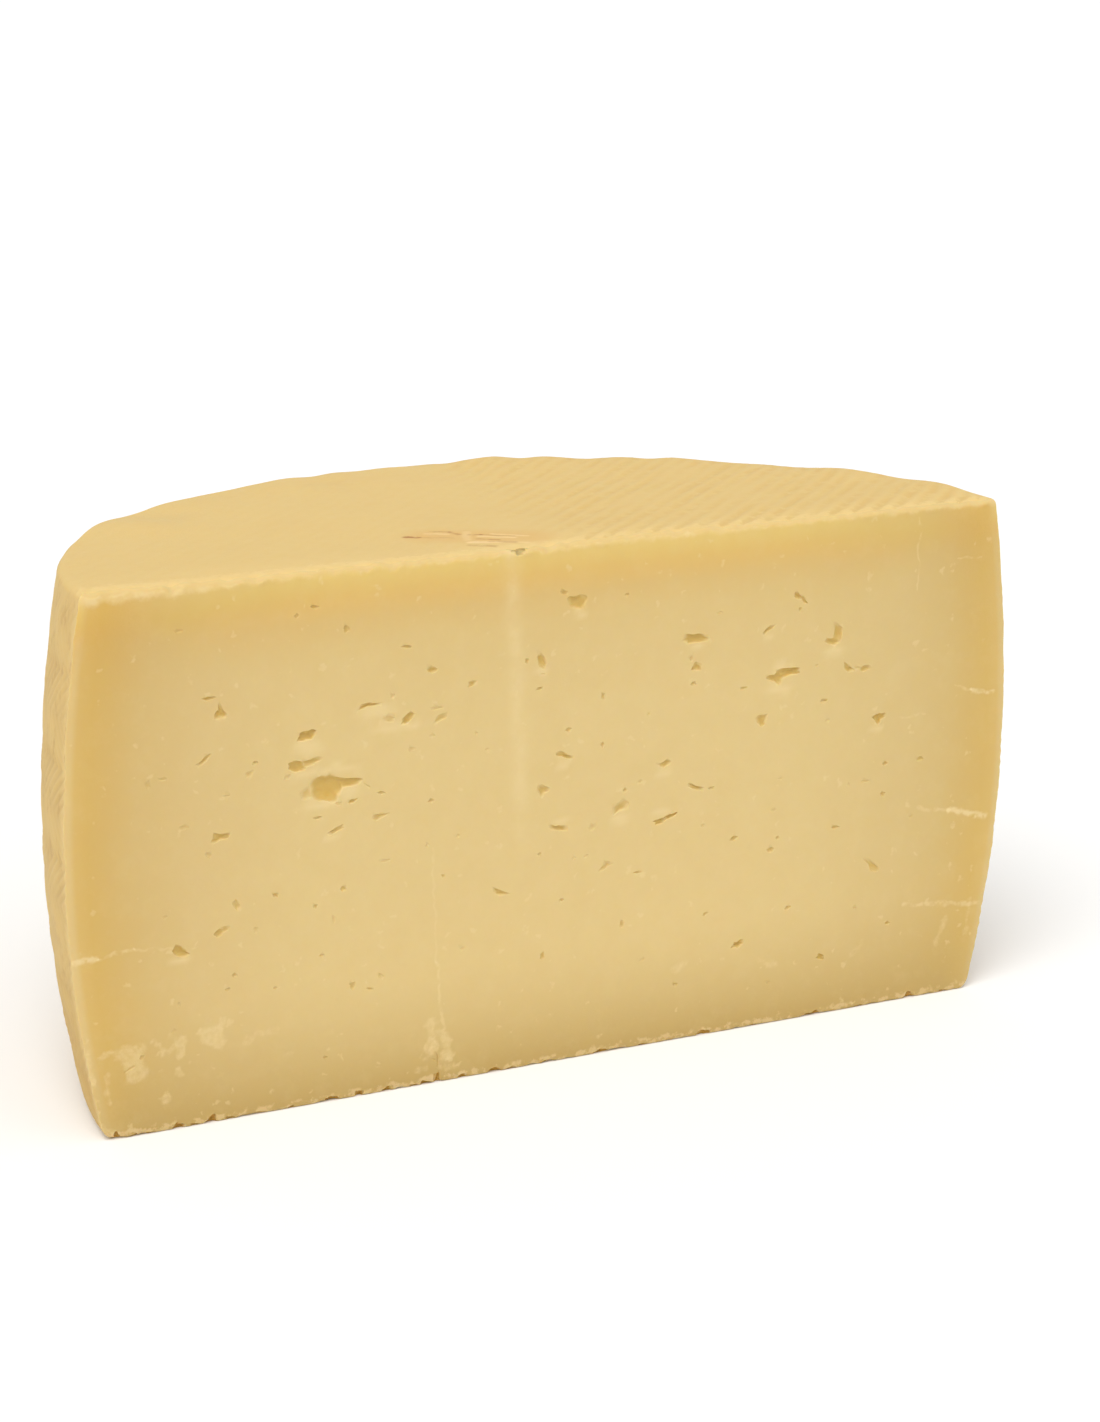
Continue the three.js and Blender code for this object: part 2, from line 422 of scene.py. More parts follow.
@dataclass(frozen=True)
class BoardPrint:
    """The pressing board's print: fine ridges on the right half of the top, aslant to the cut."""

    ridge_height: float = 0.14
    slant: float = math.radians(45.5)
    starts: float = -8.0
    full: float = 9.0
    border_slant: float = 0.16
    faint: float = 0.1
    broken_along: float = 0.07
    broken_across: float = 0.9
    fuzz: float = 0.05
    worn_from_rim: float = 6.0

    def strength(self, phase: float, x: float, y: float) -> float:
        """How strongly the ridges are printed at a place, from 0 to a little over 1.

        Args:
            phase: The number of ridges from the left.
            x: The place along the cut.
            y: The place behind the cut.

        Returns:
            The share of the ridges' full height.
        """
        from_border = x - self.border_slant * y
        ridged = self.faint + (1.0 - self.faint) * eased(from_border, self.starts, self.full)
        along = (y * math.sin(self.slant) + x * math.cos(self.slant)) * self.broken_along
        gaps = noise.noise(Vector((along, phase * self.broken_across, 3.7)))
        return ridged * min(1.2, max(0.2, 0.85 + 0.9 * gaps))

    def relief(self, phase: float, x: float, y: float, from_rim: float) -> float:
        """How far the print stands out of the pressed face.

        Args:
            phase: The number of ridges from the left.
            x: The place along the cut.
            y: The place behind the cut.
            from_rim: How far the place lies inside the rim.

        Returns:
            Millimetres outwards.
        """
        fuzz = noise.noise(Vector((x * 0.9, y * 0.9, 11.0))) * self.fuzz
        kept = eased(from_rim, 1.0, self.worn_from_rim)
        wave = math.cos(math.tau * phase)
        return self.ridge_height * self.strength(phase, x, y) * wave * kept + fuzz


@dataclass(frozen=True)
class CutFace:
    """The face that the knife left: nearly flat, with the low waves and drag lines of the blade."""

    wheel: WheelForm = WheelForm()
    wave: float = 0.16
    wave_scale: float = 0.03
    ripple: float = 0.05
    ripple_scale: float = 0.16
    drag: float = 0.035
    worn_corner: float = 0.35
    worn_width: float = 1.3
    band_top: float = 104.0
    band_foot: float = 42.0
    band_depth: float = 0.03
    band_width: float = 1.7

    def band_x(self, height: float) -> float:
        """Where the middle of the knife's pale band runs at a height."""
        share = (self.band_top - height) / (self.band_top - self.band_foot)
        return -12.4 + 3.0 * min(1.0, max(0.0, share)) ** 0.8

    def band_share(self, x: float, z: float) -> float:
        """How strongly the knife's band shows at a place, from 0 to 1."""
        away = (x - self.band_x(z)) / self.band_width
        return math.exp(-away * away) * eased(z, self.band_foot - 4.0, self.band_foot + 18.0)

    def recess(self, x: float, z: float) -> float:
        """How far the face lies behind its plane at a place."""
        waves = noise.noise(Vector((x * self.wave_scale, z * self.wave_scale, 0.3))) * self.wave
        ripples = noise.noise(Vector((x * self.ripple_scale, z * self.ripple_scale, 7.1)))
        drags = noise.noise(Vector((x * 0.42, z * 0.03, 21.0)))
        from_rind = max(-1.0, self.wheel.radius_at(z) - abs(x))
        corner = max(0.0, 1.0 - from_rind / self.worn_width) ** 2 * self.worn_corner
        uneven = 0.7 + 0.6 * noise.noise(Vector((x * 0.2, z * 0.21, 5.0)))
        band = -self.band_depth * self.band_share(x, z)
        return 0.2 + waves + ripples * self.ripple + drags * self.drag + corner * uneven + band


@dataclass(frozen=True)
class WrappingSheet:
    """The sheet that trims the wheel: its base, its cut face and its top, in one closed skin."""

    wheel: WheelForm = WheelForm()
    board: BoardPrint = BoardPrint()
    cut: CutFace = CutFace()
    columns_per_ridge: int = 7
    columns_to_radius: int = 136
    columns_left: int = 210
    columns_right: int = 139
    upper_round: float = 0.8
    lower_round: float = 0.6
    edge_steps: int = 4
    cut_row: float = 1.1
    fine_row: float = 0.78
    fine_below: float = 21.0
    fine_from_top: float = 3.5
    crumble: float = 0.42
    foot_lift: float = 0.7
    corner_lift: float = 1.1
    back: float = 106.0
    base_row: float = 7.0
    top_row: float = 3.0
    spine_y: float = 122.0
    scallop: float = 0.95
    scallop_reach: float = 3.6
    scallop_pitch_left: float = 5.2
    recess_fades: float = 2.5

    def stations(self) -> list[Station]:
        """The sheet's rows, from the back of the base round to the back of the top."""
        height, low, high = self.wheel.height, self.lower_round, self.upper_round
        base_rows = round((self.back - 4.0) / self.base_row)
        behind = [self.back - (self.back - 4.0) * step / base_rows for step in range(base_rows + 1)]
        rows = [Station(Region.BASE, y, 0.0) for y in (*behind, 2.5, 1.4, low)]
        for step in range(1, self.edge_steps):
            angle = math.pi / 2.0 * step / self.edge_steps
            y = low * (1.0 - math.sin(angle))
            rows.append(Station(Region.LOWER_EDGE, y, low * (1.0 - math.cos(angle))))
        rows += [Station(Region.CUT, 0.0, z) for z in self.cut_levels()]
        for step in range(1, self.edge_steps):
            angle = math.pi / 2.0 * step / self.edge_steps
            y = high * (1.0 - math.cos(angle))
            rows.append(Station(Region.UPPER_EDGE, y, height - high * (1.0 - math.sin(angle))))
        rows += [Station(Region.TOP, y, height) for y in (high, high + 0.8, high + 2.0)]
        top_rows = round((self.back - high - 2.0) / self.top_row)
        for step in range(1, top_rows + 1):
            y = high + 2.0 + (self.back - high - 2.0) * step / top_rows
            rows.append(Station(Region.TOP, y, height))
        return rows

    def cut_levels(self) -> list[float]:
        """The heights of the cut face's rows, closer where the face is finely marked."""
        start, end = self.lower_round, self.wheel.height - self.upper_round
        levels = [start]
        while levels[-1] < end:
            fine = levels[-1] < self.fine_below or levels[-1] > end - self.fine_from_top
            levels.append(levels[-1] + (self.fine_row if fine else self.cut_row))
        stretch = (end - start) / (levels[-1] - start)
        return [start + (level - start) * stretch for level in levels]

    def scallops(self, x: float, phase: float) -> float:
        """How far the cut's upper edge dips at a place along it."""
        turn = math.tau * x / self.scallop_pitch_left
        broad = 0.5 + 0.5 * math.cos(turn + 1.7 * noise.noise(Vector((x * 0.11, 0.0, 0.0))))
        fine = 0.5 - 0.5 * math.cos(math.tau * phase)
        right = eased(x, -4.0, 6.0)
        uneven = 0.5 + 0.9 * noise.noise(Vector((x * 0.16, 4.0, 0.0)))
        return self.scallop * max(0.1, uneven) * (broad * (1.0 - right) + 0.8 * fine * right)

    def lift(self, x: float) -> float:
        """How far the cut's lower edge stands off the ground at a place along it."""
        broad = noise.noise(Vector((x * 0.13, 0.0, 9.0)))
        fine = noise.noise(Vector((x * 0.5, 3.0, 9.0)))
        corner = self.corner_lift * eased(x, -90.0, -94.0)
        return corner + self.foot_lift * max(0.0, 0.9 * broad + 0.8 * fine)

    def phase_at(self, x: float, y: float) -> float:
        """The number of board ridges from the middle to a place on the top."""
        gap = self.wheel.radius_at(self.wheel.height) / self.columns_to_radius
        return (x - y / math.tan(self.board.slant)) / gap / self.columns_per_ridge

    def placed(self, column: int, station: Station) -> Vector:
        """Where one point of the sheet lies.

        Args:
            column: Its column, counted from the wheel's middle.
            station: Its row.

        Returns:
            The point in the wheel's space.
        """
        phase = column / self.columns_per_ridge
        gap = self.wheel.radius / self.columns_to_radius
        x = column * gap * self.wheel.radius_at(station.z) / self.wheel.radius
        y, z = station.y, station.z
        height = self.wheel.height
        from_rim = self.wheel.radius_at(z) - math.hypot(x, y)
        if z > height / 2.0:
            x += y / math.tan(self.board.slant)
            from_rim = self.wheel.radius_at(z) - math.hypot(x, y)
            reach = max(0.0, 1.0 - y / self.scallop_reach) ** 2
            z -= self.scallops(x, phase) * reach * eased(z, height - 3.0, height - 0.4)
            near_edge = max(0.0, 1.0 - y / 2.4) * eased(station.z, height - 2.2, height - 0.5)
            along = Vector((x * 0.7, (y + height - station.z) * 0.7, 31.0))
            z -= self.crumble * near_edge * (0.4 + noise.noise(along))
            y += self.crumble * near_edge * noise.noise(along + Vector((0.0, 0.0, 9.0)))
        else:
            z += self.lift(x) * max(0.0, 1.0 - y / 2.5) ** 2 * eased(z, 2.5, 0.0)
        if station.region is Region.TOP:
            z += self.board.relief(phase, x, y, from_rim) * eased(y, 0.6, 2.6)
        if station.region is Region.BASE:
            z += abs(self.board.relief(phase, x, y, from_rim)) * eased(y, 1.0, 6.0)
        y += self.cut.recess(x, station.z) * max(0.0, 1.0 - y / self.recess_fades)
        return self.wheel.seated(Vector((x, y, z)))

    def build(self) -> bmesh.types.BMesh:
        """Folds a grid round the base, the cut and the top, and closes it behind.

        The grid has one row more at each end, which both lie on a spine behind the wheel, and one
        column more at each side, which shrinks to the end of that spine.

        Returns:
            The closed skin.
        """
        stations = self.stations()
        first = -self.columns_left - 1
        columns = self.columns_left + self.columns_right + 2
        rows = len(stations) + 1
        mesh = bmesh.new()
        bmesh.ops.create_grid(mesh, x_segments=columns, y_segments=rows, size=0.5)
        for face in mesh.faces:
            row = math.floor((face.calc_center_median().y + 0.5) * rows)
            pressed = all(
                stations[min(len(stations) - 1, max(0, at))].region in (Region.BASE, Region.TOP)
                for at in (row - 1, row)
            )
            face.material_index = Finishes.RIND if pressed else Finishes.PASTE
        for vert in mesh.verts:
            column = round((vert.co.x + 0.5) * columns) + first
            row = round((vert.co.y + 0.5) * rows) - 1
            inside = -self.columns_left <= column <= self.columns_right
            if inside and 0 <= row < len(stations):
                vert.co = self.placed(column, stations[row])
            else:
                vert.co = self.on_spine(column)
        behind = [vert for vert in mesh.verts if vert.co.y > self.spine_y - 1.0]
        bmesh.ops.remove_doubles(mesh, verts=behind, dist=0.01)
        bmesh.ops.recalc_face_normals(mesh, faces=mesh.faces)
        return mesh

    def on_spine(self, column: int) -> Vector:
        """Where a column meets the spine behind the wheel."""
        kept = min(self.columns_right, max(-self.columns_left, column))
        gap = self.wheel.radius / self.columns_to_radius
        return Vector((kept * gap, self.spine_y, self.wheel.height / 2.0))


# ---------------------------------------------------------------- eyes and chips


class EyeKind(Enum):
    """How an eye of the cheese was opened by the knife."""

    OPEN = "open"
    TORN = "torn"
    FAINT = "faint"


@dataclass(frozen=True)
class Eye:
    """One eye on the cut face.

    Attributes:
        x: Its middle along the cut.
        z: Its middle's height.
        width: Its width before it is turned.
        height: Its height before it is turned.
        tilt: How far it is turned, in degrees, rising to the right.
        kind: How it was opened.
    """

    x: float
    z: float
    width: float
    height: float
    tilt: float = 0.0
    kind: EyeKind = EyeKind.OPEN


@dataclass(frozen=True)
class CavityStyle:
    """How the lump that cuts a cavity is shaped.

    Attributes:
        depth_share: Its depth for each millimetre of the opening's mean size.
        least_depth: The depth of the smallest.
        sunk: How far its middle lies behind the face, as a share of its depth.
        cornered: How angular its outline is.
        lumpy: How uneven its wall is.
    """

    depth_share: float
    least_depth: float
    sunk: float
    cornered: float
    lumpy: float


CAVITY_STYLES = {
    EyeKind.OPEN: CavityStyle(0.22, 0.16, -0.36, 0.2, 0.22),
    EyeKind.TORN: CavityStyle(0.26, 0.2, -0.3, 0.24, 0.28),
    EyeKind.FAINT: CavityStyle(0.13, 0.11, -0.42, 0.16, 0.22),
}
OUTLINED = CavityStyle(0.24, 0.16, -0.4, 0.0, 0.16)
OPENED = 1.06

TORN, FAINT = EyeKind.TORN, EyeKind.FAINT

EYES: tuple[Eye, ...] = (
    Eye(-20.2, 79.8, 1.8, 1.2, 10),
    Eye(-51.5, 98.0, 1.8, 0.8, -10),
    Eye(-55.0, 96.7, 1.0, 0.9, 0),
    Eye(-33.5, 88.5, 2.2, 0.8, -10),
    Eye(-84.0, 68.3, 1.1, 1.6, 0, FAINT),
    Eye(-81.2, 69.0, 1.6, 0.8, 0, FAINT),
    Eye(-64.7, 67.8, 2.0, 1.0, 30, FAINT),
    Eye(-63.5, 69.8, 1.2, 0.8, 0),
    Eye(-69.3, 64.2, 1.6, 0.6, 0, FAINT),
    Eye(-77.3, 59.3, 2.0, 1.0, 0, FAINT),
    Eye(-77.5, 96.3, 1.6, 0.8, 0, FAINT),
    Eye(-32.5, 68.5, 1.6, 1.0, 0, FAINT),
    Eye(-38.7, 60.7, 1.5, 0.8, 0),
    Eye(-28.5, 57.8, 1.3, 1.0, 0),
    Eye(-51.5, 57.5, 1.8, 0.7, 0),
    Eye(7.4, 74.0, 0.9, 1.6, 15),
    Eye(7.4, 64.3, 0.9, 1.1, 0),
    Eye(-19.3, 70.0, 0.8, 0.7, 0, FAINT),
    Eye(-17.0, 66.5, 0.8, 0.6, 0, FAINT),
    Eye(-81.5, 42.5, 1.0, 0.8, 0, FAINT),
    Eye(-64.0, 37.3, 1.0, 1.3, 0, FAINT),
    Eye(-52.2, 40.2, 1.1, 0.8, 0),
    Eye(-48.5, 37.0, 0.8, 1.8, 0, FAINT),
    Eye(-68.3, 29.0, 1.1, 1.0, 0),
    Eye(-69.7, 26.4, 1.1, 0.7, 0),
    Eye(-79.3, 25.0, 0.8, 1.0, 0, FAINT),
    Eye(-60.4, 25.2, 0.8, 0.7, 0),
    Eye(-38.0, 47.2, 2.2, 0.8, 0, FAINT),
    Eye(-26.1, 42.4, 0.8, 0.8, 0),
    Eye(-5.8, 43.8, 0.8, 0.8, 0),
    Eye(-5.0, 22.7, 1.1, 1.6, 0),
    Eye(-1.0, 33.7, 1.0, 0.8, 0),
    Eye(-22.0, 27.0, 1.2, 0.8, 0, FAINT),
    Eye(-51.0, 30.2, 1.0, 0.7, 0),
    Eye(-50.5, 9.3, 0.9, 0.7, 0),
    Eye(-29.4, 49.0, 1.0, 0.7, 0, FAINT),
    Eye(-23.0, 50.0, 1.0, 0.7, 0, FAINT),
    Eye(12.2, 93.5, 1.1, 0.7, 0),
    Eye(32.5, 87.8, 1.4, 0.7, 0, FAINT),
    Eye(38.2, 72.0, 1.7, 0.7, 0),
    Eye(54.8, 74.7, 0.9, 0.7, 0, FAINT),
    Eye(56.7, 67.2, 1.9, 0.9, 0),
    Eye(57.8, 63.0, 1.1, 0.8, 0, FAINT),
    Eye(17.3, 69.2, 0.8, 0.6, 0, FAINT),
    Eye(15.7, 55.7, 1.3, 0.8, 0, FAINT),
    Eye(47.3, 52.3, 1.0, 0.7, 0, FAINT),
    Eye(71.7, 52.2, 1.4, 1.0, 0),
    Eye(80.0, 52.2, 1.7, 1.0, 0),
    Eye(20.4, 46.9, 2.8, 1.2, 12, TORN),
    Eye(22.6, 47.7, 2.8, 1.0, 18, TORN),
    Eye(5.5, 47.7, 1.7, 1.1, 20, FAINT),
    Eye(63.2, 48.8, 0.8, 0.8, 0, FAINT),
    Eye(67.3, 49.0, 2.0, 0.7, 0, FAINT),
    Eye(71.5, 45.7, 1.3, 1.2, 0),
    Eye(30.0, 44.7, 1.1, 0.8, 0, FAINT),
    Eye(46.0, 45.8, 1.1, 0.8, 0, FAINT),
    Eye(37.0, 41.0, 1.8, 1.1, 25),
    Eye(60.5, 40.2, 1.9, 0.9, 0),
    Eye(15.6, 37.0, 1.5, 0.8, 0),
    Eye(78.5, 40.0, 1.0, 0.7, 0, FAINT),
    Eye(12.3, 26.7, 0.9, 1.8, 0),
    Eye(1.6, 42.0, 1.0, 0.7, 0, FAINT),
    Eye(4.3, 42.0, 1.0, 0.7, 0, FAINT),
    Eye(38.6, 18.4, 2.8, 1.6, 12, TORN),
    Eye(58.2, 12.6, 2.3, 1.2, -20, TORN),
    Eye(24.5, 12.0, 1.1, 0.9, 0),
    Eye(31.0, 26.0, 1.4, 0.8, 15),
    Eye(50.0, 24.5, 1.7, 0.8, 20),
    Eye(74.0, 17.5, 1.3, 0.9, -10),
    Eye(66.0, 22.0, 0.9, 0.8, 0, FAINT),
    Eye(46.0, 9.0, 1.0, 0.7, 0, FAINT),
    Eye(17.0, 18.5, 1.2, 0.8, 0, FAINT),
    Eye(-57.3, 66.2, 1.4, 0.9, 30, FAINT),
    Eye(-47.2, 59.7, 1.8, 0.8, -10, FAINT),
    Eye(-41.6, 62.6, 2.0, 0.4, -35, FAINT),
    Eye(-36.3, 79.3, 1.0, 0.9, 0, FAINT),
    Eye(-37.0, 74.9, 2.6, 1.4, -20, FAINT),
    Eye(-72.2, 83.1, 2.6, 0.9, -3),
    Eye(-1.2, 95.4, 1.7, 1.1, -15),
    Eye(-8.8, 82.9, 0.9, 1.1),
    Eye(-5.5, 79.9, 1.2, 0.6, 0, FAINT),
    Eye(-6.1, 77.1, 1.6, 0.7, 5),
    Eye(26.5, 79.3, 0.9, 1.2, 0, FAINT),
    Eye(27.1, 74.2, 1.2, 1.0),
    Eye(50.6, 86.6, 0.9, 0.9),
    Eye(64.3, 73.2, 1.6, 0.6, -8, FAINT),
    Eye(12.5, 54.4, 1.1, 0.9),
    Eye(31.6, 52.3, 1.5, 0.6),
    Eye(0.1, 68.2, 1.3, 1.0),
    Eye(-72.8, 53.3, 1.6, 1.1, -35, FAINT),
    Eye(-60.0, 43.6, 1.5, 0.9, -20),
    Eye(-46.5, 42.9, 1.4, 1.2),
    Eye(-27.3, 75.9, 2.6, 0.8, 0, FAINT),
    Eye(-28.3, 70.6, 1.5, 0.6, -8, FAINT),
    Eye(-41.2, 21.8, 1.7, 0.6, -15),
    Eye(-39.0, 24.0, 1.7, 1.0, -45, FAINT),
    Eye(45.5, 37.5, 1.8, 1.2, 15),
    Eye(47.0, 39.8, 0.9, 0.8),
    Eye(-45.3, 93.2, 1.3, 1.6, 20),
    Eye(-86.6, 15.6, 1.0, 1.1, 0),
    Eye(-89.0, 13.7, 2.4, 0.7, 25, FAINT),
    Eye(-80.4, 19.8, 0.9, 0.7, 0, FAINT),
    Eye(-27.3, 4.7, 0.4, 3.4, 4, FAINT),
    Eye(-27.9, 5.0, 1.3, 0.4, -20, FAINT),
)


@dataclass(frozen=True)
class TornEye:
    """One of the larger eyes, with the outline that it has on the cut face.

    Attributes:
        outline: The corners of its opening, as x and z, in order round it.
        deep: How deep it is for its width, against an ordinary eye.
    """

    outline: tuple[tuple[float, float], ...]
    deep: float = 1.0

    def middle(self) -> tuple[float, float]:
        """The middle of the area inside the outline."""
        area = across = up = 0.0
        for (x0, z0), (x1, z1) in zip(self.outline, self.outline[1:] + self.outline[:1]):
            part = x0 * z1 - x1 * z0
            area += part
            across += (x0 + x1) * part
            up += (z0 + z1) * part
        return across / (3.0 * area), up / (3.0 * area)

    def lie(self) -> float:
        """The angle of its longest chord, in degrees."""
        pairs = ((a, b) for a in self.outline for b in self.outline if a[0] < b[0])
        start, end = max(pairs, key=lambda pair: math.dist(*pair))
        return math.degrees(math.atan2(end[1] - start[1], end[0] - start[0]))

    def spread(self) -> "OutlineSpread":
        """The outline turned to its lie and measured from its middle."""
        x, z = self.middle()
        turn = math.radians(self.lie())
        corners = []
        for corner in self.outline:
            right, rise = corner[0] - x, corner[1] - z
            along = right * math.cos(turn) + rise * math.sin(turn)
            corners.append((along, rise * math.cos(turn) - right * math.sin(turn)))
        half_width = max(abs(along) for along, _ in corners)
        half_height = max(abs(across) for _, across in corners)
        scaled = [(along / half_width, across / half_height) for along, across in corners]
        return OutlineSpread(half_width, half_height, scaled)


@dataclass(frozen=True)
class OutlineSpread:
    """An outline scaled to reach 1 each way.

    Attributes:
        half_width: What its length was divided by.
        half_height: What its breadth was divided by.
        corners: The scaled corners.
    """

    half_width: float
    half_height: float
    corners: list[tuple[float, float]]

    def reach(self, around: float) -> float:
        """How far the outline lies from its middle in a direction, in radians."""
        across = Vector((math.cos(around), math.sin(around)))
        farthest = 0.2
        for start, end in zip(self.corners, self.corners[1:] + self.corners[:1]):
            first, side = Vector(start), Vector(end) - Vector(start)
            turn = across.x * side.y - across.y * side.x
            if abs(turn) < 1e-9:
                continue
            away = (first.x * side.y - first.y * side.x) / turn
            share = (first.x * across.y - first.y * across.x) / turn
            if away > 0.0 and 0.0 <= share <= 1.0:
                farthest = max(farthest, away)
        return farthest

    def softened(self, around: float, blur: float = 0.13) -> float:
        """The reach with its corners rounded a little."""
        sides = self.reach(around - blur) + self.reach(around + blur)
        return 0.5 * self.reach(around) + 0.25 * sides


